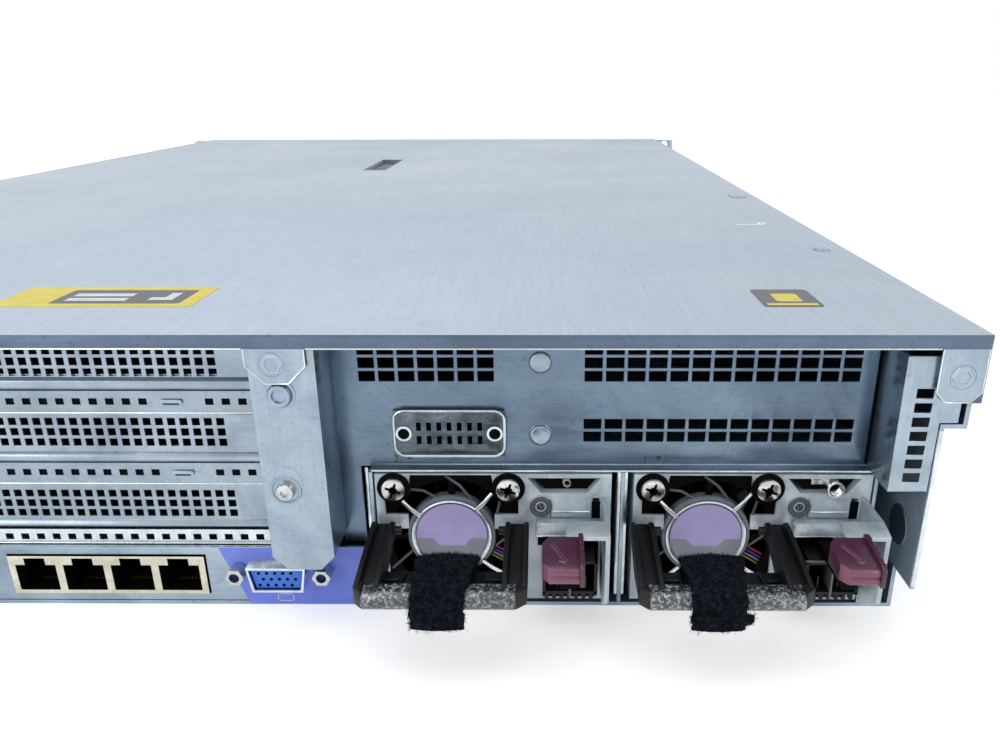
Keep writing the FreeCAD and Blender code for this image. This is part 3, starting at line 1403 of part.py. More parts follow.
def make_supply_case():
    """The supply's metal case: a closed block behind the fan bay, with lugs, a notch and an arm."""
    body = new_body("SupplyCase")
    across = supply_span(0, size.supply_width)
    tall = (size.supply_bottom_z, supply_top_z)
    pad(body, "XZ_Plane", (face_y - size.supply_length, face_y), lambda s: rectangle(s, across, tall))
    pad(body, "XZ_Plane", (face_y - size.supply_face, face_y + size.lamp_height), lambda s: circle(
        s, from_supply(size.lamp_x), supply_z(size.lamp_z), size.lamp_radius))

    bay = size.supply_fan_size / 2 + size.fit_gap
    centre_x, centre_z = from_supply(size.supply_fan_x), supply_z(size.supply_fan_z)
    fan_end = face_y - size.supply_face - size.supply_fan_depth - size.fit_gap
    pocket(body, "XZ_Plane", (fan_end, face_y - size.supply_face), lambda s: rectangle(
        s, (centre_x - bay, centre_x + bay), (centre_z - bay, centre_z + bay)))
    opening_left, opening_right = from_supply(size.face_opening_left), from_supply(size.face_opening_right)
    tab_left, tab_right = from_supply(size.face_tab_left), from_supply(size.face_tab_right)
    low, tab_z = supply_z(size.face_opening_bottom_z), supply_z(size.face_opening_tab_z)
    high, chamfer = supply_z(size.face_opening_top_z), size.face_tab_chamfer
    pivot_y, pivot_z = handle_pivot()
    reach = size.handle_pin_radius + size.supply_face
    lugs = handle_lugs()
    pocket(body, "XZ_Plane", (face_y - size.supply_face * 2, face_y + size.sheet), lambda s: polygon(s, [
        (opening_right, low), (opening_left, low), (opening_left, pivot_z - reach),
        (lugs[0][0], pivot_z - reach), (lugs[0][0], pivot_z + reach), (opening_left, pivot_z + reach),
        (opening_left, tab_z), (tab_left + chamfer, tab_z),
        (tab_left, tab_z + chamfer), (tab_left, high), (tab_right, high), (tab_right, tab_z + chamfer),
        (tab_right - chamfer, tab_z), (opening_right, tab_z), (opening_right, pivot_z + reach),
        (lugs[1][1], pivot_z + reach), (lugs[1][1], pivot_z - reach), (opening_right, pivot_z - reach),
    ]))
    corner = size.supply_screw_spacing / 2
    hole = pocket(body, "XZ_Plane", (face_y - size.supply_face * 2, face_y + size.sheet), lambda s: circle(
        s, centre_x - corner, centre_z + corner, size.supply_screw_hole_radius))
    pattern(body, hole, columns=(Size.of(2), size.supply_screw_spacing))

    notch_x = from_supply(size.notch_x)
    top, bottom = size.notch_top_width / 2, size.notch_bottom_width / 2
    pocket(body, "XZ_Plane", (face_y - size.notch_depth, face_y + size.sheet), lambda s: polygon(s, [
        (notch_x - bottom, supply_top_z - size.notch_height),
        (notch_x + bottom, supply_top_z - size.notch_height),
        (notch_x + top, supply_top_z - size.sheet), (notch_x - top, supply_top_z - size.sheet),
    ]))
    pocket(body, "XZ_Plane", (face_y - size.inlet_seat, face_y + size.sheet), lambda s: rectangle(
        s, supply_span(size.inlet_x, size.inlet_width),
        (supply_z(size.inlet_bottom_z), supply_z(size.inlet_bottom_z + size.inlet_height))))
    stem_x, stem_z = release_stem()
    pocket(body, "XZ_Plane", (face_y - size.stem_seat - size.fit_gap, face_y + size.sheet),
           lambda s: rectangle(s, (stem_x[0] - size.fit_gap, stem_x[1] + size.release_travel + size.fit_gap),
                               (stem_z[0] - size.fit_gap, stem_z[1] + size.fit_gap)))

    shroud_top = supply_z(size.shroud_top_z)
    plate_near, plate_far = face_y + size.shroud_plate_near, face_y + size.shroud_reach
    pad(body, "YZ_Plane", supply_span(size.shroud_x, size.sheet), lambda s: polygon(s, [
        (face_y - size.supply_face, supply_z(size.shroud_bottom_z)),
        (plate_far, supply_z(size.shroud_bottom_z)), (plate_far, shroud_top - size.shroud_fall),
        (plate_near, shroud_top), (face_y - size.supply_face, shroud_top),
    ]))
    pad(body, "YZ_Plane", supply_span(size.shroud_plate_x, size.shroud_x - size.shroud_plate_x + size.sheet),
        lambda s: polygon(s, [
            (plate_near, shroud_top - size.sheet), (plate_far, shroud_top - size.shroud_fall - size.sheet),
            (plate_far, shroud_top - size.shroud_fall), (plate_near, shroud_top),
        ]))
    pocket(body, "XZ_Plane", (face_y - size.stem_seat, face_y + size.sheet), lambda s: rectangle(
        s, supply_span(size.shroud_x - size.shroud_slot_width - size.shroud_slot_gap,
                       size.shroud_slot_width),
        (shroud_top - size.shroud_slot_height, shroud_top - size.shroud_slot_gap)))

    for lug in lugs:
        pad(body, "YZ_Plane", lug, lambda s: rectangle(
            s, (face_y - size.supply_face, pivot_y + reach), (pivot_z - reach, pivot_z + reach)))
        pocket(body, "YZ_Plane", (lug[0] - size.fit_gap / 2, lug[1] + size.fit_gap / 2),
               lambda s: circle(s, pivot_y, pivot_z, size.handle_pin_radius + size.running_gap))
    return body


def make_supply_fan():
    """The supply's fan frame behind its face, with two screws through the face."""
    frame = make_fan_frame("SupplyFanFrame", size.supply_fan_size, size.supply_fan_bore,
                           size.supply_fan_hub, size.supply_strut, -size.supply_fan_depth, Size.of(0))
    centre_x, centre_z = from_supply(size.supply_fan_x), supply_z(size.supply_fan_z)
    placed = copy_of("SupplyFan", frame, x=centre_x, y=face_y - size.supply_face, z=centre_z)
    screws = []
    for index, right in enumerate((-1, 1)):
        x = centre_x + size.supply_screw_spacing * right / 2
        z = centre_z + size.supply_screw_spacing / 2
        head = rod(f"ScrewHead{index}", size.supply_screw_radius, "y", x=x,
                   y=(face_y, face_y + size.supply_screw_height), z=z)
        shank = rod(f"ScrewShank{index}", size.supply_screw_hole_radius, "y", x=x,
                    y=(face_y - size.supply_face, face_y), z=z)
        screws.append(fuse(f"Screw{index}", head, shank))
    return placed, group("SupplyScrews", *screws)


def make_supply_rotor():
    rotor = make_rotor("SupplyRotor", size.supply_fan_hub, size.supply_fan_tip, size.supply_rotor_length)
    rear = face_y - size.supply_face - size.supply_strut - size.fit_gap
    return copy_of("SupplyRotorPlaced", rotor, x=from_supply(size.supply_fan_x),
                   y=rear - size.supply_rotor_length / 2, z=supply_z(size.supply_fan_z))


def make_supply_inlet():
    """The black power inlet: two contact chambers with a comb of ribs under them."""
    body = new_body("SupplyInlet")
    low, high = supply_z(size.inlet_bottom_z), supply_z(size.inlet_bottom_z + size.inlet_height)
    across = supply_span(size.inlet_x, size.inlet_width)
    rear = face_y + size.inlet_reach
    pad(body, "XZ_Plane", (face_y - size.inlet_seat, rear), lambda s: rectangle(s, across, (low, high)))
    wall = size.inlet_wall
    chamber = (size.inlet_width - wall * 3) / 2
    hole = pocket(body, "XZ_Plane", (rear - size.inlet_cavity_depth, rear + wall), lambda s: rectangle(
        s, (across[0] + wall, across[0] + wall + chamber), (low + size.inlet_comb_height, high - wall)))
    pattern(body, hole, columns=(Size.of(2), chamber + wall))
    rib = pocket(body, "XZ_Plane", (rear - size.inlet_reach / 2, rear + wall), lambda s: rectangle(
        s, (across[0] + wall, across[0] + wall + size.inlet_comb_width),
        (low - wall, low + size.inlet_comb_height - wall)))
    pattern(body, rib, columns=(Size.of(7), size.inlet_comb_pitch))
    return body


def release_stem():
    """The X span and Z span of the release latch's stem where it leaves the case."""
    low = supply_z(size.stem_bottom_z)
    return supply_span(size.stem_x, size.stem_width), (low, low + size.stem_height)


def make_supply_latch():
    """The release latch: a thumb block with a falling top and cut corners, a rimmed flange and a stem."""
    body = new_body("SupplyLatch")
    across = supply_span(size.release_x, size.release_width)
    near, far = face_y + size.release_near, face_y + size.release_reach
    low, corner, rim = supply_z(size.release_bottom_z), size.release_corner, size.release_rim
    back, front, lip = (supply_z(z) for z in (size.release_back_z, size.release_front_z, size.release_lip_z))
    pad(body, "YZ_Plane", across, lambda s: polygon(s, [
        (near, low), (near, back), (far - size.release_flange, front), (far, lip), (far, low),
    ]))
    pocket(body, "XY_Plane", (low - rim, back + rim), lambda s: polygon(s, [
        (across[1] - corner, far + rim), (across[1] + rim, far + rim), (across[1] + rim, far - corner),
        (across[1], far - corner), (across[1] - corner, far),
    ]))
    pad(body, "YZ_Plane", (across[0] - size.release_flange, across[0]), lambda s: polygon(s, [
        (near, low - rim), (near, back + rim), (far - size.release_flange, front + rim),
        (far + rim / 2, lip + rim), (far + rim / 2, low - rim),
    ]))
    stem_x, stem_z = release_stem()
    pad(body, "XZ_Plane", (face_y - size.stem_seat, near + corner), lambda s: rectangle(s, stem_x, stem_z))
    return body


def handle_pivot():
    """The supply handle's hinge line in Y and Z."""
    return face_y + size.handle_pivot_reach, supply_z(size.handle_pivot_z)


def handle_lugs():
    """The X spans of the two lugs between the handle's arms."""
    outer = size.handle_start_x + size.handle_arm + size.fit_gap
    inner = size.handle_start_x + size.handle_width - size.handle_arm - size.fit_gap
    return [supply_span(outer, size.handle_lug), supply_span(inner - size.handle_lug, size.handle_lug)]


def handle_top(y):
    """The height of the handle's top face at a depth, between its pivot and its bar's rear corner."""
    pivot_y, pivot_z = handle_pivot()
    start = pivot_z + size.handle_end_height / 2
    corner_y = face_y + size.handle_reach - size.handle_corner
    corner_z = supply_z(size.handle_bar_bottom_z + size.handle_bar_height)
    return start + (corner_z - start) * (y - pivot_y) / (corner_y - pivot_y)


def make_supply_handle():
    """The carrying loop: a deep bar with cut corners, on two arms that turn on pins in the case's lugs."""
    body = new_body("SupplyHandle")
    pivot_y, pivot_z = handle_pivot()
    across = supply_span(size.handle_start_x, size.handle_width)
    end, corner = size.handle_end_height / 2, size.handle_corner
    back = pivot_y - end
    bar_rear = face_y + size.handle_reach
    bar_front = bar_rear - size.handle_bar_depth
    bar_low = supply_z(size.handle_bar_bottom_z)
    bar_high = bar_low + size.handle_bar_height
    pad(body, "YZ_Plane", across, lambda s: polygon(s, [
        (back, pivot_z - end), (back, pivot_z + end / 2), (pivot_y, pivot_z + end),
        (bar_rear - corner, bar_high), (bar_rear, bar_high - end / 2), (bar_rear, bar_low),
        (bar_front, bar_low), (pivot_y + end, pivot_z - end),
    ]))
    inside = (across[0] + size.handle_arm, across[1] - size.handle_arm)
    tall = (bar_low - end, pivot_z + end * 2)
    pocket(body, "XY_Plane", tall, lambda s: rectangle(s, inside, (back - end, bar_front)))
    for edge, inward in ((across[0], 1), (across[1], -1)):
        pocket(body, "XY_Plane", tall, lambda s: polygon(s, [
            (edge, bar_rear - corner), (edge, bar_rear + corner),
            (edge + corner * inward, bar_rear + corner),
            (edge + corner * inward, bar_rear),
        ]))
    for span in ((across[0] + size.handle_arm / 2, inside[0] + size.fit_gap + size.handle_lug),
                 (inside[1] - size.fit_gap - size.handle_lug, across[1] - size.handle_arm / 2)):
        pad(body, "YZ_Plane", span, lambda s: circle(s, pivot_y, pivot_z, size.handle_pin_radius))
    return body


def make_supply_strap():
    """The hook-and-loop strap: a closed loop around the handle's bar with a tail hanging below."""
    body = new_body("SupplyStrap")
    across = supply_span(size.strap_x, size.strap_width)
    bar_rear = face_y + size.handle_reach
    bar_front = bar_rear - size.handle_bar_depth
    thick, gap = size.strap_thickness, size.strap_gap
    inside = (bar_front - gap, bar_rear + gap)
    bar_low = supply_z(size.handle_bar_bottom_z)
    low = bar_low - gap - thick
    tail = low - size.strap_tail
    ends = (inside[0] - thick, inside[1] + thick)
    pad(body, "YZ_Plane", across, lambda s: polygon(s, [
        (ends[0], low), (inside[1], low), (inside[1], tail), (ends[1], tail),
        (ends[1], handle_top(ends[1]) + gap), (inside[1], handle_top(inside[1]) + gap + thick),
        (ends[0], handle_top(ends[0]) + gap + thick),
    ]))
    pocket(body, "YZ_Plane", (across[0] - thick, across[1] + thick), lambda s: polygon(s, [
        (inside[0], low + thick), (inside[1], low + thick),
        (inside[1], handle_top(inside[1]) + gap), (inside[0], handle_top(inside[0]) + gap),
    ]))
    return body


def make_power_supplies():
    """Two identical supplies, one supply pitch apart."""
    fan, screws = make_supply_fan()
    pieces = {
        "case": make_supply_case(), "fan": fan, "screws": screws, "rotor": make_supply_rotor(),
        "inlet": make_supply_inlet(), "latch": make_supply_latch(),
        "handle": make_supply_handle(), "strap": make_supply_strap(),
    }
    for kind, original in pieces.items():
        second = copy_of(f"Supply2{kind.title()}", original, x=size.supply_pitch)
        node(f"psu_1_{kind}", original)
        node(f"psu_2_{kind}", second)


# The whole server ----------------------------------------------------------------------------------

def make_server():
    make_chassis_tub()
    make_front_cover()
    make_access_panel()
    make_panel_latch()
    make_rack_ears()
    make_power_button()
    make_rear_vent_panel()
    make_serial_cover()
    make_side_vent_strip()
    make_riser_bracket()
    make_bracket_fittings()
    make_io_panel()
    make_network_ports()
    make_network_contacts()
    make_video_port()
    make_usb_ports()
    make_id_button()
    make_riser_cages()
    make_slot_covers()
    make_riser_boards()
    make_system_board()
    make_memory_modules()
    make_processors()
    make_heatsinks()
    make_air_baffle()
    make_fan_row()
    make_drive_cage()
    make_backplane()
    make_drives()
    make_bay_blanks()
    make_supply_cage()
    make_power_supplies()


def check_document():
    """Stops at any failed feature or unsound shape."""
    failed = [item.Name for item in document.Objects if {"Invalid", "Error"} & set(item.State)]
    if failed:
        raise RuntimeError("failed features: " + ", ".join(failed))
    unsound = [item.Label for item in nodes if item.Shape.isNull() or not item.Shape.isValid()]
    if unsound:
        raise RuntimeError("unsound shapes: " + ", ".join(unsound))


make_server()
document.recompute()
check_document()
os.makedirs("parts", exist_ok=True)
for item in nodes:
    item.Shape.exportStep(os.path.join("parts", item.Label + ".step"))
print(len(nodes), "sub-parts written")
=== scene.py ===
"""Finishes and fine pieces of a two-unit rack server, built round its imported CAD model.

Every length is in metres and every place comes from the CAD nodes. The rear panel faces +Y, the
drive bays face -Y, and +Z is up.
"""

import json
import logging
import math
import random
from dataclasses import dataclass, field
from enum import Enum

import bmesh
import bpy
from mathutils import Matrix, Vector


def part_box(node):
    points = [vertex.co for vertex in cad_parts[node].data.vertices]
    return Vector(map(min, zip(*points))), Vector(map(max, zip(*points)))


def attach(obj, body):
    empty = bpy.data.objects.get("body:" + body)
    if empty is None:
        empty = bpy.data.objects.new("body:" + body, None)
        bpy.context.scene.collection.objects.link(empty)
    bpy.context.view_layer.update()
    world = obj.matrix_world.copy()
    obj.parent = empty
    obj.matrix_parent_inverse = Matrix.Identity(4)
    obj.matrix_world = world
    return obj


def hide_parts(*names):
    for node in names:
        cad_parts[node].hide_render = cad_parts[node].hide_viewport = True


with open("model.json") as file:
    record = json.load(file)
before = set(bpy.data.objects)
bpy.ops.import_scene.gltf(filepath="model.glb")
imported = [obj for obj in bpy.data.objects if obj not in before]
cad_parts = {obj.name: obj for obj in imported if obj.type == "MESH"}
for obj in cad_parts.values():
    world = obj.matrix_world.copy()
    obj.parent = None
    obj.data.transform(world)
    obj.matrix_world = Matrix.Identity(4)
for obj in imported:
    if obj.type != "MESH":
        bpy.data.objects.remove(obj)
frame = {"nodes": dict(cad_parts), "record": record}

LOG = logging.getLogger("rack_server")
MM = 0.001
# A face larger than this is flat sheet and shades flat, so that its rounded edges don't tint it.
LARGEST_SMOOTH_FACE = 60 * MM * MM


def linear(hex_colour: str) -> tuple[float, float, float, float]:
    """Turns an sRGB hex colour into linear light.

    Args:
        hex_colour: Six hex digits after a hash sign.

    Returns:
        Red, green, blue and an opaque alpha.
    """
    channels = [int(hex_colour[i:i + 2], 16) / 255 for i in (1, 3, 5)]
    bent = [c / 12.92 if c <= 0.04045 else ((c + 0.055) / 1.055) ** 2.4 for c in channels]
    return bent[0], bent[1], bent[2], 1.0


def add_node(tree: bpy.types.NodeTree, kind: str, settings: dict | None = None,
             links: dict | None = None) -> bpy.types.Node:
    """Adds one shader node with its settings and its incoming links.

    Args:
        tree: The node tree that it goes into.
        kind: The node's type, without its ShaderNode prefix.
        settings: Property names, or input names or numbers, and their values.
        links: Input names or numbers, and the sockets that feed them.

    Returns:
        The new node.
    """
    node = tree.nodes.new("ShaderNode" + kind)
    for key, value in (settings or {}).items():
        if isinstance(key, str) and hasattr(node, key):
            setattr(node, key, value)
        else:
            node.inputs[key].default_value = value
    for key, source in (links or {}).items():
        tree.links.new(source, node.inputs[key])
    return node


def ramp(tree: bpy.types.NodeTree, factor: bpy.types.NodeSocket,
         stops: list[tuple[float, tuple]]) -> bpy.types.NodeSocket:
    """Maps a factor through a colour ramp.

    Args:
        tree: The node tree.
        factor: The socket to map.
        stops: Places from 0 to 1, each with a linear colour.

    Returns:
        The ramp's colour socket.
    """
    node = add_node(tree, "ValToRGB", links={"Fac": factor})
    elements = node.color_ramp.elements
    while len(elements) < len(stops):
        elements.new(0.5)
    for element, (place, colour) in zip(elements, stops):
        element.position = place
        element.color = colour
    return node.outputs["Color"]


def grey(level: float) -> tuple[float, float, float, float]:
    """A linear grey of one level, for masks."""
    return level, level, level, 1.0


class Grain(Enum):
    """The direction in which a sheet was rolled or brushed, as the axis that the streaks follow."""

    ALONG_X = (1.0, 24.0, 24.0)
    ALONG_Y = (24.0, 1.0, 24.0)
    ALONG_Z = (24.0, 24.0, 1.0)
    NONE = (1.0, 1.0, 1.0)


@dataclass(frozen=True)
class Finish:
    """What every finish shares: its material, coordinates and output.

    Attributes:
        name: The material's name.
    """

    name: str

    def start(self) -> tuple[bpy.types.Material, bpy.types.NodeTree, bpy.types.Node, bpy.types.NodeSocket]:
        """Makes the empty material.

        Returns:
            The material, its tree, its Principled shader and the object coordinates in metres.
        """
        material = bpy.data.materials.new(self.name)
        material.use_nodes = True
        tree = material.node_tree
        tree.nodes.clear()
        shader = add_node(tree, "BsdfPrincipled")
        add_node(tree, "OutputMaterial", links={"Surface": shader.outputs["BSDF"]})
        place = add_node(tree, "TexCoord").outputs["Object"]
        return material, tree, shader, place


@dataclass(frozen=True)
class ZincPlatedSteel(Finish):
    """Cold-rolled steel sheet with bright zinc plating: pale blue-grey, softly mirror-like, faintly
    streaked by the rolling, clouded by handling, with fine scuffs and darker spots of storage bloom.

    Attributes:
        pale: Colour of the clean plating.
        dull: Colour of the clouded plating.
        rough: Middle roughness.
        grain: Rolling direction.
        streak: Streak spacing along the fine direction, in metres.
        cloud: Size of the clouding, in metres.
        scuffs: How strongly the scuffs show, from 0 to 1.
        metal: How metallic the surface is.
    """

    pale: str = "#C3CCD4"
    dull: str = "#98A3AD"
    rough: float = 0.36
    grain: Grain = Grain.ALONG_X
    streak: float = 1.2 * MM
    cloud: float = 22 * MM
    scuffs: float = 0.5
    metal: float = 0.92

    def build(self) -> bpy.types.Material:
        """Builds the plated steel.

        Returns:
            The material.
        """
        material, tree, shader, place = self.start()
        stretch = add_node(tree, "Mapping", {"Scale": self.grain.value}, {"Vector": place}).outputs["Vector"]
        # Real rolling lines lie about a tenth of a millimetre apart, and are drawn coarser to show.
        streaks = add_node(tree, "TexNoise",
                           {"Scale": 1 / (self.streak * 24), "Detail": 5.0, "Roughness": 0.65},
                           {"Vector": stretch}).outputs["Fac"]
        clouds = add_node(tree, "TexNoise", {"Scale": 1 / self.cloud, "Detail": 6.0, "Roughness": 0.62,
                                             "Distortion": 0.6}, {"Vector": place}).outputs["Fac"]
        bloom = add_node(tree, "TexNoise", {"Scale": 1 / (1.6 * MM), "Detail": 3.0},
                         {"Vector": place}).outputs["Fac"]
        scratch_map = add_node(tree, "Mapping", {"Scale": (1.0, 9.0, 14.0), "Rotation": (0.3, 0.5, 0.9)},
                               {"Vector": place}).outputs["Vector"]
        scratch = add_node(tree, "TexNoise", {"Scale": 1 / (14 * MM), "Detail": 8.0, "Roughness": 0.75},
                           {"Vector": scratch_map}).outputs["Fac"]
        lines = ramp(tree, scratch, [(0.0, grey(0)), (0.49, grey(0)), (0.5, grey(1)), (0.51, grey(0))])
        tone = add_node(tree, "Mix", {"data_type": "RGBA", "blend_type": "MIX", 6: linear(self.pale),
                                      7: linear(self.dull)},
                        {0: ramp(tree, clouds, [(0.3, grey(0)), (0.72, grey(1))])}).outputs[2]
        streaked = add_node(tree, "Mix", {"data_type": "RGBA", "blend_type": "MULTIPLY", 0: 0.35},
                            {6: tone, 7: ramp(tree, streaks,
                                              [(0.3, grey(0.72)), (0.7, grey(1.0))])}).outputs[2]
        spotted = add_node(tree, "Mix", {"data_type": "RGBA", "blend_type": "MULTIPLY", 0: 0.4},
                           {6: streaked, 7: ramp(tree, bloom,
                                                 [(0.27, grey(0.55)), (0.4, grey(1.0))])}).outputs[2]
        scuffed = add_node(tree, "Mix", {"data_type": "RGBA", "blend_type": "SCREEN", 7: grey(0.25)},
                           {0: add_node(tree, "Math", {"operation": "MULTIPLY", 1: self.scuffs},
                                        {0: lines}).outputs[0], 6: spotted}).outputs[2]
        tree.links.new(scuffed, shader.inputs["Base Color"])
        shader.inputs["Metallic"].default_value = self.metal
        rough = add_node(tree, "MapRange", {1: 0.25, 2: 0.75, 3: self.rough - 0.09, 4: self.rough + 0.12},
                         {0: clouds}).outputs[0]
        tree.links.new(rough, shader.inputs["Roughness"])
        height = add_node(tree, "Mix", {0: 0.35}, {2: streaks, 3: bloom}).outputs[0]
        bump = add_node(tree, "Bump", {"Strength": 0.16, "Distance": 0.05 * MM},
                        {"Height": height}).outputs["Normal"]
        tree.links.new(bump, shader.inputs["Normal"])
        return material


@dataclass(frozen=True)
class MouldedPlastic(Finish):
    """Injection-moulded ABS or PBT: an even colour with slight flow clouding, a fine spark-eroded
    grain that breaks up the sheen, and paler rubbed patches.

    Attributes:
        colour: Body colour.
        rubbed: Colour of the handled patches.
        rough: Middle roughness.
        grit: Size of the eroded grain, in metres.
        grain_depth: Depth of the grain, in metres.
        sheen: Coat weight, for a glossy moulding.
        gloss: Strength of the surface's own reflection, with 0.5 as plain plastic.
        tips: How strongly pale painted glints show on the tips of a coarse grain, from 0 to 1.
    """

    colour: str = "#1B1D20"
    rubbed: str = "#34373B"
    rough: float = 0.45
    grit: float = 0.5 * MM
    grain_depth: float = 0.06 * MM
    sheen: float = 0.0
    gloss: float = 0.5
    tips: float = 0.0

    def build(self) -> bpy.types.Material:
        """Builds the plastic.

        Returns:
            The material.
        """
        material, tree, shader, place = self.start()
        patches = add_node(tree, "TexNoise", {"Scale": 1 / (9 * MM), "Detail": 6.0, "Roughness": 0.7},
                           {"Vector": place}).outputs["Fac"]
        # Real eroded grain is a few times finer than this, which is drawn as coarse as it needs to show.
        pebbles = add_node(tree, "TexVoronoi", {"Scale": 1 / self.grit, "feature": "SMOOTH_F1"},
                           {"Vector": place}).outputs["Distance"]
        fine = add_node(tree, "TexNoise", {"Scale": 1 / (self.grit * 0.4), "Detail": 3.0},
                        {"Vector": place}).outputs["Fac"]
        tone = add_node(tree, "Mix", {"data_type": "RGBA", 6: linear(self.colour), 7: linear(self.rubbed)},
                        {0: ramp(tree, patches, [(0.42, grey(0)), (0.8, grey(1))])}).outputs[2]
        speckled = add_node(tree, "Mix", {"data_type": "RGBA", "blend_type": "MULTIPLY", 0: 0.3},
                            {6: tone, 7: ramp(tree, fine, [(0.35, grey(0.6)), (0.65, grey(1.0))])}).outputs[2]
        # Pale spots on the tips of the grain are painted glints.
        if self.tips:
            worn = add_node(tree, "TexNoise", {"Scale": 1 / (1.1 * MM), "Detail": 4.0, "Roughness": 0.8},
                            {"Vector": place}).outputs["Fac"]
            speckled = add_node(tree, "Mix", {"data_type": "RGBA", 7: linear("#C4CCD3")},
                                {0: ramp(tree, worn, [(0.5, grey(0)), (0.62, grey(self.tips))]),
                                 6: speckled}).outputs[2]
        tree.links.new(speckled, shader.inputs["Base Color"])
        rough = add_node(tree, "MapRange", {1: 0.3, 2: 0.8, 3: self.rough + 0.08, 4: self.rough - 0.12},
                         {0: patches}).outputs[0]
        tree.links.new(rough, shader.inputs["Roughness"])
        shader.inputs["Coat Weight"].default_value = self.sheen
        shader.inputs["Coat Roughness"].default_value = self.rough * 0.5
        shader.inputs["Specular IOR Level"].default_value = self.gloss
        height = add_node(tree, "Mix", {0: 0.4}, {2: pebbles, 3: fine}).outputs[0]
        bump = add_node(tree, "Bump", {"Strength": 0.5, "Distance": self.grain_depth},
                        {"Height": height}).outputs["Normal"]
        tree.links.new(bump, shader.inputs["Normal"])
        return material


@dataclass(frozen=True)
class PrintedFilm(Finish):
    """Screen-printed polyester film: flat satin ink with a slight mottle, specks of dust and a faint
    orange-peel in the lacquer.

    Attributes:
        ink: Ink colour.
        worn: Ink colour where it is rubbed.
        rough: Roughness of the lacquer.
    """

    ink: str = "#6A73E8"
    worn: str = "#5C66D8"
    rough: float = 0.38

    def build(self) -> bpy.types.Material:
        """Builds the printed film.

        Returns:
            The material.
        """
        material, tree, shader, place = self.start()
        mottle = add_node(tree, "TexNoise", {"Scale": 1 / (5 * MM), "Detail": 5.0},
                          {"Vector": place}).outputs["Fac"]
        # The specks are larger than real dust, so that they show.
        dust = add_node(tree, "TexNoise", {"Scale": 1 / (0.7 * MM), "Detail": 2.0},
                        {"Vector": place}).outputs["Fac"]
        tone = add_node(tree, "Mix", {"data_type": "RGBA", 6: linear(self.ink), 7: linear(self.worn)},
                        {0: ramp(tree, mottle, [(0.35, grey(0)), (0.7, grey(1))])}).outputs[2]
        dusty = add_node(tree, "Mix", {"data_type": "RGBA", 7: linear("#D8DADC")},
                         {0: ramp(tree, dust, [(0.7, grey(0)), (0.78, grey(0.35))]), 6: tone}).outputs[2]
        tree.links.new(dusty, shader.inputs["Base Color"])
        rough = add_node(tree, "MapRange", {3: self.rough - 0.06, 4: self.rough + 0.1},
                         {0: mottle}).outputs[0]
        tree.links.new(rough, shader.inputs["Roughness"])
        bump = add_node(tree, "Bump", {"Strength": 0.12, "Distance": 0.03 * MM},
                        {"Height": dust}).outputs["Normal"]
        tree.links.new(bump, shader.inputs["Normal"])
        return material


@dataclass(frozen=True)
class HookAndLoop(Finish):
    """Woven nylon hook-and-loop tape: matt black pile with brown-grey tips where the light catches
    the loops.

    Attributes:
        pile: Colour deep in the pile.
        tips: Colour of the loop tips.
    """

    pile: str = "#030408"
    tips: str = "#2C3650"

    def build(self) -> bpy.types.Material:
        """Builds the tape.

        Returns:
            The material.
        """
        material, tree, shader, place = self.start()
        # Loops and tufts are coarser than the tape's real pile, so that they show.
        loops = add_node(tree, "TexVoronoi", {"Scale": 1 / (0.55 * MM)},
                         {"Vector": place}).outputs["Distance"]
        tufts = add_node(tree, "TexNoise", {"Scale": 1 / (1.4 * MM), "Detail": 5.0, "Roughness": 0.8},
                         {"Vector": place}).outputs["Fac"]
        tone = add_node(tree, "Mix", {"data_type": "RGBA", 6: linear(self.pile), 7: linear(self.tips)},
                        {0: ramp(tree, tufts, [(0.46, grey(0)), (0.72, grey(1))])}).outputs[2]
        tree.links.new(tone, shader.inputs["Base Color"])
        tree.links.new(ramp(tree, tufts, [(0.2, grey(0.96)), (0.8, grey(0.82))]), shader.inputs["Roughness"])
        shader.inputs["Sheen Weight"].default_value = 0.06
        shader.inputs["Sheen Roughness"].default_value = 0.5
        shader.inputs["Specular IOR Level"].default_value = 0.1
        height = add_node(tree, "Mix", {0: 0.5}, {2: loops, 3: tufts}).outputs[0]
        bump = add_node(tree, "Bump", {"Strength": 0.9, "Distance": 0.35 * MM},
                        {"Height": height}).outputs["Normal"]
        tree.links.new(bump, shader.inputs["Normal"])
        return material


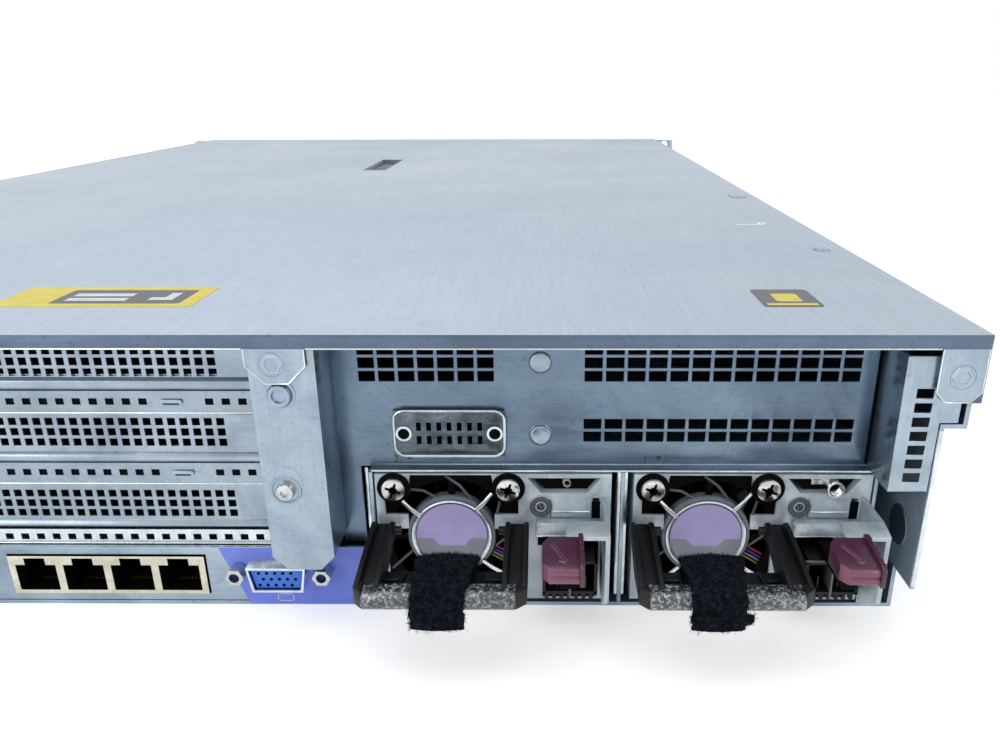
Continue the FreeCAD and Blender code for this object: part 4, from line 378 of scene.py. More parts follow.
@dataclass(frozen=True)
class SolderMaskedBoard(Finish):
    """Glass-epoxy circuit board under green solder mask: satin, with copper planes and fine tracks
    showing as paler and darker green.

    Attributes:
        mask: Colour over bare laminate.
        copper: Colour over the copper.
    """

    mask: str = "#0F4A33"
    copper: str = "#1D6B47"

    def build(self) -> bpy.types.Material:
        """Builds the board.

        Returns:
            The material.
        """
        material, tree, shader, place = self.start()
        # Real tracks lie a few tenths of a millimetre apart, and are drawn coarser to show.
        tracks = add_node(tree, "TexBrick", {"Scale": 1.0, "Mortar Size": 0.08 * MM, "Brick Width": 3.1 * MM,
                                             "Row Height": 0.9 * MM, "Color1": grey(0), "Color2": grey(0.35),
                                             "Mortar": grey(1)}, {"Vector": place}).outputs["Color"]
        planes = add_node(tree, "TexNoise", {"Scale": 1 / (26 * MM), "Detail": 3.0},
                          {"Vector": place}).outputs["Fac"]
        shown = add_node(tree, "Mix", {"data_type": "RGBA", "blend_type": "SCREEN", 0: 0.8},
                         {6: tracks, 7: ramp(tree, planes, [(0.45, grey(0)), (0.5, grey(0.5))])}).outputs[2]
        tone = add_node(tree, "Mix", {"data_type": "RGBA", 6: linear(self.mask), 7: linear(self.copper)},
                        {0: shown}).outputs[2]
        tree.links.new(tone, shader.inputs["Base Color"])
        tree.links.new(ramp(tree, planes, [(0.2, grey(0.3)), (0.8, grey(0.42))]), shader.inputs["Roughness"])
        bump = add_node(tree, "Bump", {"Strength": 0.3, "Distance": 0.05 * MM},
                        {"Height": shown}).outputs["Normal"]
        tree.links.new(bump, shader.inputs["Normal"])
        return material


def finishes() -> dict[str, bpy.types.Material]:
    """Builds every finish once.

    Returns:
        Materials by the record's slot names and by the names of the added finishes.
    """
    made = {
        # Zinc plating in each part's own tone, roughness and rolling direction; the vent panel's darker tone
        # and the cover flange's darker copy are painted shade.
        "zinc_steel": ZincPlatedSteel("zinc_plated_sheet", pale="#A9B9C7", dull="#8092A3", rough=0.32,
                                      grain=Grain.ALONG_X),
        # The vent panel's zinc, painted darker than the rest of the rear steel as shade.
        "vent_panel_painted_shade": ZincPlatedSteel("zinc_vent_panel_painted_shade", pale="#788B9D", dull="#586A7D", rough=0.3,
                                       grain=Grain.ALONG_X, cloud=34 * MM, scuffs=0.35),
        "bracket_steel": ZincPlatedSteel("zinc_bracket", pale="#A9B8C3", dull="#8A9CAA", rough=0.3,
                                         grain=Grain.ALONG_Z, cloud=16 * MM),
        "slot_steel": ZincPlatedSteel("zinc_slot_cover", pale="#A6B3BF", dull="#7E8D9B", rough=0.3,
                                      grain=Grain.ALONG_X, cloud=24 * MM),
        # The cover's rearward faces: the cover's own steel, painted darker as shade.
        "cover_steel_painted_shade": ZincPlatedSteel("zinc_cover_painted_shade", pale="#65758A", dull="#4D5B6C", rough=0.32,
                                      grain=Grain.ALONG_X, cloud=60 * MM, scuffs=0.2),
        "pale_sheet": ZincPlatedSteel("zinc_side_wall", pale="#AEBCC8", dull="#8798A7", rough=0.42,
                                      grain=Grain.ALONG_Z, cloud=14 * MM, metal=0.35),
        # The cover is even: wide clouds, hardly a scuff and a duller reflection.
        "cover_steel": ZincPlatedSteel("zinc_cover_sheet", pale="#BAC6D4", dull="#B0BDCB", rough=0.5,
                                       grain=Grain.ALONG_Y, cloud=90 * MM, scuffs=0.12, metal=0.55),
        # Nickel, tin and gold plating, each in its own colour, with nickel the glossiest; the bright nickel
        # also stands in as painted highlight along rolled and cut edges of zinc sheet.
        "bright_steel": ZincPlatedSteel("nickel_steel_and_painted_edge_highlights", pale="#E4EAEE", dull="#BCC6CC", rough=0.24,
                                        grain=Grain.ALONG_Z, cloud=6 * MM, metal=1.0),
        "screw_steel": ZincPlatedSteel("nickel_plated_screw", pale="#DCDDDC", dull="#A9ACAE", rough=0.2,
                                       grain=Grain.NONE, cloud=3 * MM, metal=1.0),
        "tin_shield": ZincPlatedSteel("tin_plated_shield", pale="#E6E2D2", dull="#C4BFAC", rough=0.3,
                                      grain=Grain.ALONG_Z, cloud=7 * MM, metal=0.9),
        "gold_contact": ZincPlatedSteel("gold_flashed_contact", pale="#A5874A", dull="#6A5630", rough=0.35,
                                        grain=Grain.ALONG_Y, cloud=2 * MM, metal=1.0),
        # Aluminium and cast cases are neutral and satin; the supply's case stays pale in shade.
        "fin_aluminium": ZincPlatedSteel("extruded_aluminium", pale="#C9CCCE", dull="#A6AAAD", rough=0.4,
                                         grain=Grain.ALONG_Y, cloud=30 * MM),
        "supply_metal": ZincPlatedSteel("zinc_supply_case", pale="#DCE5EB", dull="#A3B4C0", rough=0.36,
                                        grain=Grain.ALONG_Z, cloud=11 * MM, metal=0.3),
        "drive_metal": ZincPlatedSteel("cast_drive_case", pale="#9EA4AA", dull="#7E858C", rough=0.48,
                                       grain=Grain.NONE, cloud=12 * MM),
        # Moulded plastics: saturated blue, near blacks, and maroon with a light coat, whose lip is painted
        # paler as a highlight.
        "blue_plastic": MouldedPlastic("blue_pbt", colour="#3D7CF0", rubbed="#5A93F5", rough=0.4),
        "black_plastic": MouldedPlastic("black_pbt", colour="#08090C", rubbed="#121418", rough=0.5,
                                        gloss=0.35),
        # Matt black of the fans, jacks and washers, also used as painted shade in holes, recesses, notches
        # and gaps.
        "deep_black": MouldedPlastic("matt_black_pbt_and_painted_shade", colour="#020203", rubbed="#060709", rough=0.6,
                                     gloss=0.06),
        "maroon_plastic": MouldedPlastic("maroon_polycarbonate", colour="#4C2239", rubbed="#5C3048",
                                         rough=0.4,
                                         sheen=0.15),
        # The latch's lip and arrow: the same maroon, painted paler as highlight.
        "maroon_painted_highlight": MouldedPlastic("maroon_polycarbonate_painted_highlight", colour="#7E4260", rubbed="#935876",
                                     rough=0.34, sheen=0.3),
        "grey_plastic": MouldedPlastic("grey_abs", colour="#4A4E54", rubbed="#63676D"),
        "button_plastic": MouldedPlastic("pale_abs_button", colour="#B9BDC2", rubbed="#CBCED2"),
        "grey_abs_ring": MouldedPlastic("grey_abs_hub", colour="#6E767E", rubbed="#8A9299", rough=0.4,
                                        gloss=0.6),
        "strap_fabric": HookAndLoop("nylon_hook_and_loop"),
        # A coarse grain over black, with pale painted glints on its tips.
        "grained_black": MouldedPlastic("grained_black_pbt", colour="#07080A", rubbed="#14171B", rough=0.24,
                                        grit=0.62 * MM, grain_depth=0.4 * MM, gloss=1.0, tips=0.85),
        "brushed_steel": ZincPlatedSteel("brushed_knockout_steel", pale="#6C7882", dull="#20282F", rough=0.26,
                                         grain=Grain.ALONG_X, streak=0.7 * MM, cloud=9 * MM, metal=1.0),
        "yellow_film": PrintedFilm("yellow_polyester_label", ink="#E8D640", worn="#D9C534"),
        "dark_film": PrintedFilm("charcoal_polyester_label", ink="#41454B", worn="#52575E"),
        "white_film": PrintedFilm("white_polyester_label", ink="#E6E8EA", worn="#D5D8DB"),
        "blue_film": PrintedFilm("blue_polyester_label", ink="#7C92FA", worn="#8699FA"),
        "purple_film": PrintedFilm("lilac_polyester_label", ink="#C2B5EA", worn="#B9ACE2"),
        "grey_film": PrintedFilm("grey_polyester_label", ink="#989EA9", worn="#8C929D"),
        "black_ink": PrintedFilm("black_pad_print", ink="#1E2024", worn="#2C2F34"),
        "dark_glass": MouldedPlastic("dark_lamp_lens", colour="#20302C", rubbed="#30463F", rough=0.15,
                                     sheen=0.6),
        "red_wire": MouldedPlastic("red_pvc_wire", colour="#B3262C", rubbed="#C8444A", rough=0.45, sheen=0.1),
        "blue_wire": MouldedPlastic("blue_pvc_wire", colour="#2B3FA8", rubbed="#4458BE", rough=0.45,
                                    sheen=0.1),
        "white_wire": MouldedPlastic("white_pvc_wire", colour="#8D9194", rubbed="#A6AAAD", rough=0.45,
                                     sheen=0.1),
        "yellow_wire": MouldedPlastic("yellow_pvc_wire", colour="#8F7E2E", rubbed="#A59241", rough=0.45,
                                      sheen=0.1),
        "circuit_board": SolderMaskedBoard("green_circuit_board"),
        "module_board": SolderMaskedBoard("green_module_board", mask="#0C5A3A", copper="#1B7E50"),
    }
    return {slot: finish.build() for slot, finish in made.items()}


@dataclass(frozen=True)
class Lamp:
    """A square soft lamp.

    Attributes:
        name: The lamp's name.
        spot: Where it stands, in metres.
        aim: The point that it faces.
        size: Its side, in metres.
        power: Its power, in watts.
    """

    name: str
    spot: tuple[float, float, float]
    aim: tuple[float, float, float]
    size: float
    power: float


@dataclass
class Studio:
    """The floor, the light and the camera.

    Attributes:
        eye: Camera position, as offsets from the middle of the rear panel's foot.
        pitch: Downward tilt of the camera, in radians.
        yaw: Turn of the camera about the vertical, in radians.
        roll: Roll of the camera, in radians.
        lens: Focal length in millimetres on a 36 mm sensor.
        shift: Lens shift, sideways and upwards.
        lamps: The lamps: a broad one overhead, and two behind the rear panel.
        room_light: Strength of the light that the white room itself gives.
        floor_reach: Half the floor's side, in metres.
    """

    eye: tuple[float, float, float] = (-114.2 * MM, 193.8 * MM, 145.9 * MM)
    pitch: float = 0.3679
    yaw: float = -0.0114
    roll: float = -0.0031
    lens: float = 29.92
    shift: tuple[float, float] = (-0.0374, 0.0218)
    lamps: tuple[Lamp, ...] = (
        Lamp("lamp_over", (0.25, 0.15, 1.6), (0.0, 0.0, 0.0), 1.6, 14.0),
        Lamp("lamp_rear_left", (1.1, 1.5, 0.75), (0.0, 0.3, 0.04), 0.9, 8.0),
        Lamp("lamp_rear_right", (-1.3, 1.3, 0.9), (0.0, 0.3, 0.04), 0.7, 5.5))
    room_light: float = 0.34
    floor_reach: float = 6.0

    def place_camera(self, rear: float) -> None:
        """Sets the camera behind the rear panel.

        Args:
            rear: Y of the object's rearmost point.
        """
        s, c, sp, cp = math.sin(self.yaw), math.cos(self.yaw), math.sin(self.pitch), math.cos(self.pitch)
        ahead = Vector((-s * cp, -c * cp, -sp))
        across = Vector((-c, s, 0.0))
        down = Vector((s * sp, c * sp, -cp))
        right = math.cos(self.roll) * across - math.sin(self.roll) * down
        below = math.sin(self.roll) * across + math.cos(self.roll) * down
        turn = Matrix((right, -below, -ahead)).transposed()
        data = bpy.data.cameras.new("camera")
        data.sensor_width = 36.0
        data.lens = self.lens
        data.shift_x, data.shift_y = self.shift
        data.clip_start = 0.01
        camera = bpy.data.objects.new("camera", data)
        bpy.context.scene.collection.objects.link(camera)
        camera.matrix_world = Matrix.Translation((self.eye[0], rear + self.eye[1],
                                                  self.eye[2])) @ turn.to_4x4()
        bpy.context.scene.camera = camera

    def light(self) -> None:
        """Adds a white world and three soft lamps."""
        world = bpy.data.worlds.new("white_room")
        bpy.context.scene.world = world
        world.use_nodes = True
        tree = world.node_tree
        tree.nodes.clear()
        seen = self.background_seen(tree)
        lit = add_node(tree, "Background", {"Color": linear("#F1F4F8"), "Strength": self.room_light})
        shown = add_node(tree, "Background", {"Color": grey(1.0), "Strength": 1.0})
        both = add_node(tree, "MixShader", links={0: seen, 1: lit.outputs[0], 2: shown.outputs[0]}).outputs[0]
        add_node(tree, "OutputWorld", links={"Surface": both})
        for lamp in self.lamps:
            data = bpy.data.lights.new(lamp.name, "AREA")
            data.shape = "SQUARE"
            data.size = lamp.size
            data.energy = lamp.power
            stand = bpy.data.objects.new(lamp.name, data)
            stand.location = lamp.spot
            stand.rotation_euler = (Vector(lamp.aim) - Vector(lamp.spot)).to_track_quat("-Z", "Y").to_euler()
            bpy.context.scene.collection.objects.link(stand)

    def background_seen(self, tree: bpy.types.NodeTree) -> bpy.types.NodeSocket:
        """Finds the rays that show the white background: direct, mirrored and refracted ones.

        Args:
            tree: The node tree of the floor or the world.

        Returns:
            A socket that is 1 for those rays and 0 for the rays that light the object.
        """
        path = add_node(tree, "LightPath")
        direct = add_node(tree, "Math", {"operation": "MAXIMUM"},
                          {0: path.outputs["Is Camera Ray"],
                           1: path.outputs["Is Transmission Ray"]}).outputs[0]
        return add_node(tree, "Math", {"operation": "MAXIMUM"},
                        {0: direct, 1: path.outputs["Is Glossy Ray"]}).outputs[0]

    def lay_floor(self) -> None:
        """Lays a large pale floor under the server."""
        mesh = bpy.data.meshes.new("floor")
        reach = self.floor_reach
        mesh.from_pydata([(-reach, -reach, 0), (reach, -reach, 0), (reach, reach, 0), (-reach, reach, 0)], [],
                         [(0, 1, 2, 3)])
        floor = bpy.data.objects.new("floor", mesh)
        bpy.context.scene.collection.objects.link(floor)
        material = bpy.data.materials.new("white_paper_floor")
        material.use_nodes = True
        tree = material.node_tree
        tree.nodes.clear()
        place = add_node(tree, "TexCoord").outputs["Object"]
        # The mottle of the paper is coarser than its real fibres, so that it shows.
        fibre = add_node(tree, "TexNoise", {"Scale": 1 / (3 * MM), "Detail": 4.0},
                         {"Vector": place}).outputs["Fac"]
        tone = ramp(tree, fibre, [(0.3, linear("#F4F4F4")), (0.7, linear("#FBFBFB"))])
        paper = add_node(tree, "BsdfPrincipled", {"Roughness": 0.9}, {"Base Color": tone})
        away = add_node(tree, "VectorMath", {"operation": "LENGTH"}, {0: place}).outputs["Value"]
        white = add_node(tree, "MapRange", {1: 0.5, 2: 2.4, 3: 0.5, 4: 1.2}, {0: away}).outputs[0]
        lift = add_node(tree, "Math", {"operation": "MULTIPLY"},
                        {0: self.background_seen(tree), 1: white}).outputs[0]
        tree.links.new(lift, paper.inputs["Emission Strength"])
        paper.inputs["Emission Color"].default_value = grey(1.0)
        add_node(tree, "OutputMaterial", links={"Surface": paper.outputs["BSDF"]})
        mesh.materials.append(material)


class Plane(Enum):
    """The plane in which an outline is drawn, as the axes of its two coordinates and its depth."""

    FACE = (0, 2, 1)
    SIDE = (1, 2, 0)
    FLAT = (0, 1, 2)


def round_edges(work: bmesh.types.BMesh, radius: float, segments: int = 2, least: float = 25.0) -> None:
    """Rounds every edge sharper than an angle.

    Args:
        work: The mesh to change.
        radius: Rounding radius, in metres.
        segments: Facets across the rounding.
        least: Smallest angle between faces that is rounded, in degrees.
    """
    sharp = [e for e in work.edges if len(e.link_faces) == 2 and e.calc_face_angle(0.0) > math.radians(least)]
    if sharp and radius > 0:
        bmesh.ops.bevel(work, geom=sharp, offset=radius, segments=segments, profile=0.5, affect="EDGES",
                        clamp_overlap=True)


def prism(outline: list[tuple[float, float]], near: float, far: float, plane: Plane,
          soft: float = 0.0, segments: int = 2) -> bmesh.types.BMesh:
    """Makes a straight block from an outline.

    Args:
        outline: Points in the plane, in metres.
        near: Where the block starts along the plane's depth.
        far: Where it ends.
        plane: The plane of the outline.
        soft: Edge rounding, in metres.
        segments: Facets across the rounding.

    Returns:
        The mesh being built.
    """
    work = bmesh.new()
    u, v, w = plane.value
    rings = []
    for depth in (near, far):
        ring = []
        for first, second in outline:
            spot = [0.0, 0.0, 0.0]
            spot[u], spot[v], spot[w] = first, second, depth
            ring.append(work.verts.new(spot))
        rings.append(ring)
    work.faces.new(rings[0])
    work.faces.new(list(reversed(rings[1])))
    for i in range(len(outline)):
        work.faces.new((rings[0][i - 1], rings[1][i - 1], rings[1][i], rings[0][i]))
    bmesh.ops.recalc_face_normals(work, faces=work.faces)
    round_edges(work, soft, segments)
    return work


def slab(across: tuple[float, float], up: tuple[float, float], near: float, far: float, plane: Plane,
         corner: float = 0.0, soft: float = 0.0) -> bmesh.types.BMesh:
    """Makes a rectangular block, with round corners in its plane if asked.

    Args:
        across: Span along the plane's first axis.
        up: Span along its second.
        near: Where the block starts along its depth.
        far: Where it ends.
        plane: The plane of the rectangle.
        corner: Corner radius in the plane.
        soft: Edge rounding.

    Returns:
        The mesh being built.
    """
    (a0, a1), (b0, b1) = sorted(across), sorted(up)
    if not corner:
        return prism([(a0, b0), (a1, b0), (a1, b1), (a0, b1)], near, far, plane, soft)
    outline = []
    for cx, cy, start in ((a1 - corner, b1 - corner, 0), (a0 + corner, b1 - corner, 90),
                          (a0 + corner, b0 + corner, 180), (a1 - corner, b0 + corner, 270)):
        for step in range(5):
            angle = math.radians(start + step * 22.5)
            outline.append((cx + corner * math.cos(angle), cy + corner * math.sin(angle)))
    return prism(outline, near, far, plane, soft)


def lathe(profile: list[tuple[float, float]], centre: tuple[float, float, float], sides: int = 40,
          axis: Plane = Plane.FACE) -> bmesh.types.BMesh:
    """Turns a profile round an axis through a point.

    Args:
        profile: Radius and height pairs along the outside, from one end to the other.
        centre: The point where the height is 0.
        sides: Facets round the turn.
        axis: The plane square to the axis.

    Returns:
        The mesh being built.
    """
    work = bmesh.new()
    u, v, w = axis.value
    rows = []
    for radius, height in profile:
        row = []
        for step in range(sides if radius > 1e-7 else 1):
            angle = 2 * math.pi * step / sides
            spot = [0.0, 0.0, 0.0]
            spot[u] = centre[u] + radius * math.cos(angle)
            spot[v] = centre[v] + radius * math.sin(angle)
            spot[w] = centre[w] + height
            row.append(work.verts.new(spot))
        rows.append(row)
    for low, high in zip(rows, rows[1:]):
        for step in range(sides):
            after = (step + 1) % sides
            if len(low) == 1 and len(high) > 1:
                work.faces.new((low[0], high[step], high[after]))
            elif len(high) == 1 and len(low) > 1:
                work.faces.new((low[step], low[after], high[0]))
            elif len(low) > 1:
                work.faces.new((low[step], low[after], high[after], high[step]))
    bmesh.ops.recalc_face_normals(work, faces=work.faces)
    return work


def rod_along(points: list[Vector], radius: float, sides: int = 10, flat: float = 1.0) -> bmesh.types.BMesh:
    """Sweeps a round or flattened section along points.

    Args:
        points: Places along the middle line.
        radius: Half width of the section.
        sides: Facets round it.
        flat: Share of the width that its thickness along Y has.

    Returns:
        The mesh being built.
    """
    work = bmesh.new()
    rings = []
    for i, point in enumerate(points):
        ahead = (points[min(i + 1, len(points) - 1)] - points[max(i - 1, 0)]).normalized()
        side = ahead.cross(Vector((0, 1, 0)))
        side = side.normalized() if side.length > 1e-6 else Vector((1, 0, 0))
        up = ahead.cross(side).normalized()
        rings.append([work.verts.new(point + side * radius * math.cos(2 * math.pi * k / sides)
                                     + up * radius * flat * math.sin(2 * math.pi * k / sides))
                      for k in range(sides)])
    for low, high in zip(rings, rings[1:]):
        for k in range(sides):
            work.faces.new((low[k], low[(k + 1) % sides], high[(k + 1) % sides], high[k]))
    work.faces.new(rings[0])
    work.faces.new(rings[-1])
    bmesh.ops.recalc_face_normals(work, faces=work.faces)
    return work


def subtract(work: bmesh.types.BMesh, block: bmesh.types.BMesh) -> bmesh.types.BMesh:
    """Cuts one closed mesh away from another.

    Args:
        work: The mesh to cut, which is freed.
        block: The mesh to cut away, which is freed.

    Returns:
        The cut mesh.
    """
    objects = []
    for source in (work, block):
        mesh = bpy.data.meshes.new("cut")
        source.to_mesh(mesh)
        source.free()
        objects.append(bpy.data.objects.new("cut", mesh))
        bpy.context.scene.collection.objects.link(objects[-1])
    modifier = objects[0].modifiers.new("cut", "BOOLEAN")
    modifier.operation = "DIFFERENCE"
    modifier.object = objects[1]
    modifier.solver = "EXACT"
    depsgraph = bpy.context.evaluated_depsgraph_get()
    result = bmesh.new()
    result.from_mesh(objects[0].evaluated_get(depsgraph).to_mesh())
    for obj in objects:
        bpy.data.objects.remove(obj)
    return result


@dataclass
class Bench:
    """What the sub-assemblies share: the finishes, and which body and slot each CAD node has."""

    finish: dict[str, bpy.types.Material] = field(default_factory=finishes)

    def __post_init__(self) -> None:
        """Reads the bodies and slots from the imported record."""
        record = frame["record"]
        self.body = {node: name for name, nodes in record["behaviour"]["bodies"].items() for node in nodes}
        self.slot = {part["node"]: part["material_slot"] for part in record["subparts"]}
        self.done: set[str] = set()

    def dress(self, node: str, finish: str | None = None) -> None:
        """Gives a CAD node its finish.

        Args:
            node: The node's name.
            finish: The finish's name, or None for the one named by its slot.
        """
        obj = frame["nodes"][node]
        obj.data.materials.clear()
        obj.data.materials.append(self.finish[finish or self.slot[node]])
        self.done.add(node)

    def soften(self, node: str, finish: str | None = None, radius: float = 0.25 * MM, segments: int = 2,
               cuts: tuple = (), rear_finish: str | None = None, rear_from: float = -1.0) -> bpy.types.Object:
        """Stands a piece with folded, rounded edges in for a CAD node.

        Args:
            node: The node's name.
            finish: The finish's name, or None for the one named by its slot.
            radius: Edge rounding.
            segments: Facets across the rounding.
            cuts: Closed meshes to cut away before the rounding.
            rear_finish: The finish of the faces that look rearwards, if it differs.
            rear_from: The Y from which it is given.

        Returns:
            The new piece.
        """
        work = bmesh.new()
        work.from_mesh(frame["nodes"][node].data)
        bmesh.ops.remove_doubles(work, verts=work.verts, dist=1e-6)
        for block in cuts:
            work = subtract(work, block)
        bmesh.ops.dissolve_limit(work, angle_limit=math.radians(0.5), verts=work.verts, edges=work.edges)
        round_edges(work, radius, segments)
        parts = [(work, finish or self.slot[node])]
        if rear_finish:
            work.normal_update()
            rear = work.copy()

            def looks_back(face: bmesh.types.BMFace) -> bool:
                """Whether a face looks rearwards and lies far enough back."""
                return face.normal.y > 0.7 and face.calc_center_median().y > rear_from

            bmesh.ops.delete(work, geom=[f for f in work.faces if looks_back(f)], context="FACES")
            bmesh.ops.delete(rear, geom=[f for f in rear.faces if not looks_back(f)], context="FACES")
            parts.append((rear, rear_finish))
        return self.piece(node + "_sheet", parts, self.body[node], self.slot[node], node)

    def piece(self, name: str, parts: list[tuple[bmesh.types.BMesh, str]], body: str, slot: str,
              *replaced: str, crease: float = 32.0) -> bpy.types.Object:
        """Joins finished meshes into one piece on a body.

        Args:
            name: The piece's name.
            parts: Meshes and the names of their finishes.
            body: The body that it rides on.
            slot: The record's material slot.
            replaced: CAD nodes that it stands for.
            crease: Angle above which an edge shades sharp, in degrees.

        Returns:
            The new piece.
        """
        whole = bmesh.new()
        names: list[str] = []
        for work, finish in parts:
            if finish not in names:
                names.append(finish)
            for face in work.faces:
                face.material_index = names.index(finish)
                face.smooth = face.calc_area() < LARGEST_SMOOTH_FACE
            scratch = bpy.data.meshes.new("scratch")
            work.to_mesh(scratch)
            work.free()
            whole.from_mesh(scratch)
            bpy.data.meshes.remove(scratch)
        mesh = bpy.data.meshes.new(name)
        whole.to_mesh(mesh)
        whole.free()
        for finish in names:
            mesh.materials.append(self.finish[finish])
        mesh.set_sharp_from_angle(angle=math.radians(crease))
        obj = bpy.data.objects.new(name, mesh)
        bpy.context.scene.collection.objects.link(obj)
        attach(obj, body)
        if replaced:
            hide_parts(*replaced)
            self.done.update(replaced)
        return obj


@dataclass
class Enclosure:
    """The tub, the sliding cover, its stickers, rivets and pressed marks, and the rack ears."""

    bench: Bench
    sticker_wide: tuple[float, float, float, float] = (-16.7 * MM, 39.5 * MM, 26.4 * MM, 49.0 * MM)
    sticker_small: tuple[float, float, float, float] = (-190.0 * MM, -173.7 * MM, 26.3 * MM, 45.6 * MM)
    film: float = 0.12 * MM
    rivets: tuple[tuple[float, float], ...] = ((-46.2 * MM, 79.6 * MM), (-216.9 * MM, 76.4 * MM))
    rivet_radius: float = 2.9 * MM
    tabs: tuple[tuple[float, float, float, float], ...] = ((-54.6 * MM, -39.6 * MM, 74.6 * MM, 4.6 * MM),
                                                           (-222.2 * MM, -211.0 * MM, 69.8 * MM, 2.6 * MM))
    hem_drop: float = 3.6 * MM
    hem_radius: float = 0.24 * MM

    def build(self) -> None:
        """Builds the enclosure."""
        for node, radius in (("front_cover", 0.5), ("chassis_tub", 0.22), ("ear_left", 0.25),
                             ("ear_right", 0.25),
                             ("panel_latch", 0.3)):
            self.bench.soften(node, radius=radius * MM)
        # The flange's rearward faces take a darker copy of the cover's steel as painted shade.
        self.bench.soften("access_panel", radius=0.5 * MM, rear_finish="cover_steel_painted_shade")
        self.line_side_wall()
        self.lay_stickers()
        self.set_rivets()
        self.trim_tabs()
        self.press_marks()

    def lay_stickers(self) -> None:
        """Lays two colour-blocked stickers on the cover."""
        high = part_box("access_panel")[1]
        top, rear = high.z, high.y

        def block(spot: tuple[float, float, float, float], lift: float, finish: str,
                  corner: float = 0.0) -> tuple:
            """One printed block of a sticker, as a mesh and its finish."""
            x0, x1, near, far = spot
            return slab((x0, x1), (rear - far, rear - near), top, top + self.film * lift, Plane.FLAT,
                        corner), finish

        x0, x1, near, far = self.sticker_wide
        wide = [block(self.sticker_wide, 1.0, "yellow_film", 1.5 * MM),
                block((x0 + 4.5 * MM, x1 - 15 * MM, near + 3.2 * MM, far - 4 * MM), 1.25, "dark_film",
                      0.8 * MM),
                block((x0 + 8 * MM, x0 + 15 * MM, near + 7 * MM, near + 10 * MM), 1.5, "white_film"),
                block((x0 + 8 * MM, x0 + 11 * MM, near + 10 * MM, near + 15 * MM), 1.5, "white_film"),
                block((x0 + 21 * MM, x1 - 18 * MM, near + 6 * MM, near + 9.2 * MM), 1.5, "white_film"),
                block((x0 + 21 * MM, x1 - 18 * MM, near + 11.2 * MM, near + 14.4 * MM), 1.5, "white_film")]
        self.bench.piece("cover_sticker_wide", wide, "top_panel", "grey_plastic")
        x0, x1, near, far = self.sticker_small
        small = [block(self.sticker_small, 1.0, "dark_film", 1.2 * MM),
                 block((x0 + 1.2 * MM, x1 - 1.2 * MM, near + 1.4 * MM, near + 3.4 * MM), 1.3, "yellow_film"),
                 block((x0 + 4.4 * MM, x1 - 4.6 * MM, near + 5.4 * MM, far - 5.2 * MM), 1.3, "yellow_film",
                       1 * MM)]
        self.bench.piece("cover_sticker_small", small, "top_panel", "grey_plastic")

    def set_rivets(self) -> None:
        """Sets the hexagonal pressed rivets in the cover's rear tabs."""
        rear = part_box("access_panel")[1].y
        parts = []
        for x, z in self.rivets:
            r = self.rivet_radius
            parts.append((lathe([(r, -0.3 * MM), (r, 0.1 * MM), (r * 0.9, 0.35 * MM), (r * 0.66, 0.4 * MM),
                                 (r * 0.6, 0.1 * MM), (0.0, 0.05 * MM)], (x, rear, z), 6), "cover_steel"))
            # A dark ring round each rivet, in the cover's shaded steel: painted shade.
            parts.append((lathe([(r * 1.18, 0.02 * MM), (r * 1.1, 0.12 * MM), (r * 1.0, 0.05 * MM)],
                                (x, rear, z), 36), "cover_steel_painted_shade"))
        self.bench.piece("cover_rivets", parts, "top_panel", "cover_steel")

    def line_side_wall(self) -> None:
        """Lines the rear end of the right side wall: its pale inner face, round dimple and rolled edge, the
        edge drawn bright as a painted highlight.
        """
        low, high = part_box("chassis_tub")
        wall = [v.co for v in frame["nodes"]["chassis_tub"].data.vertices
                if v.co.x < low.x + 8 * MM and v.co.z < 15 * MM and v.co.y > high.y - 2 * MM]
        inner, outer, end = max(p.x for p in wall), min(p.x for p in wall), high.y
        face = slab((end - 30 * MM, end - 0.7 * MM), (14.3 * MM, 61.5 * MM), inner, inner + 0.12 * MM,
                    Plane.SIDE)
        dimple = lathe([(6.0 * MM, 0.14 * MM), (5.6 * MM, 0.45 * MM), (4.9 * MM, 0.3 * MM), (0.0, 0.2 * MM)],
                       (inner, end - 13 * MM, 27 * MM), 40, Plane.SIDE)
        # The rolled edge is a bright rod: painted edge highlight.
        edge = rod_along([Vector(((inner + outer) / 2, end - 0.5 * MM, z * MM))
                          for z in (14.8, 30, 45, 61.4)],
                         0.75 * MM, 14)
        self.bench.piece("side_wall_end",
                         [(face, "pale_sheet"), (dimple, "zinc_steel"), (edge, "bright_steel")],
                         "chassis", "zinc_steel")

    def trim_tabs(self) -> None:
        """Lays the lower hem of the cover's rear flange and the pale skins of its two tabs, with bright rods
        along the hem and round the tabs as painted highlights.
        """
        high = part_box("access_panel")[1]
        rear, hem = high.y, high.z - self.hem_drop
        parts = []
        for x0, x1, foot, corner in self.tabs:
            shape = [(x0, hem), (x1, hem), (x1, foot + corner), (x1 - corner, foot), (x0 + corner, foot),
                     (x0, foot + corner)]
            parts.append((prism(shape, rear - 0.02 * MM, rear + 0.1 * MM, Plane.FACE), "bracket_steel"))
            # A bright rod round each tab: painted edge highlight.
            line = [Vector((x, rear + 0.1 * MM, z)) for x, z in shape[1:] + shape[:1]]
            parts.append((rod_along(line, 0.22 * MM, 8), "bright_steel"))
        # Bright rods along the hem: painted edge highlight.
        for x0, x1 in ((-210.5 * MM, -55.0 * MM), (-39.2 * MM, high.x - 5 * MM)):
            line = [Vector((x0 + (x1 - x0) * k / 6, rear - 0.05 * MM, hem)) for k in range(7)]
            parts.append((rod_along(line, self.hem_radius, 8), "bright_steel"))
        self.bench.piece("cover_tab_trim", parts, "top_panel", "cover_steel")

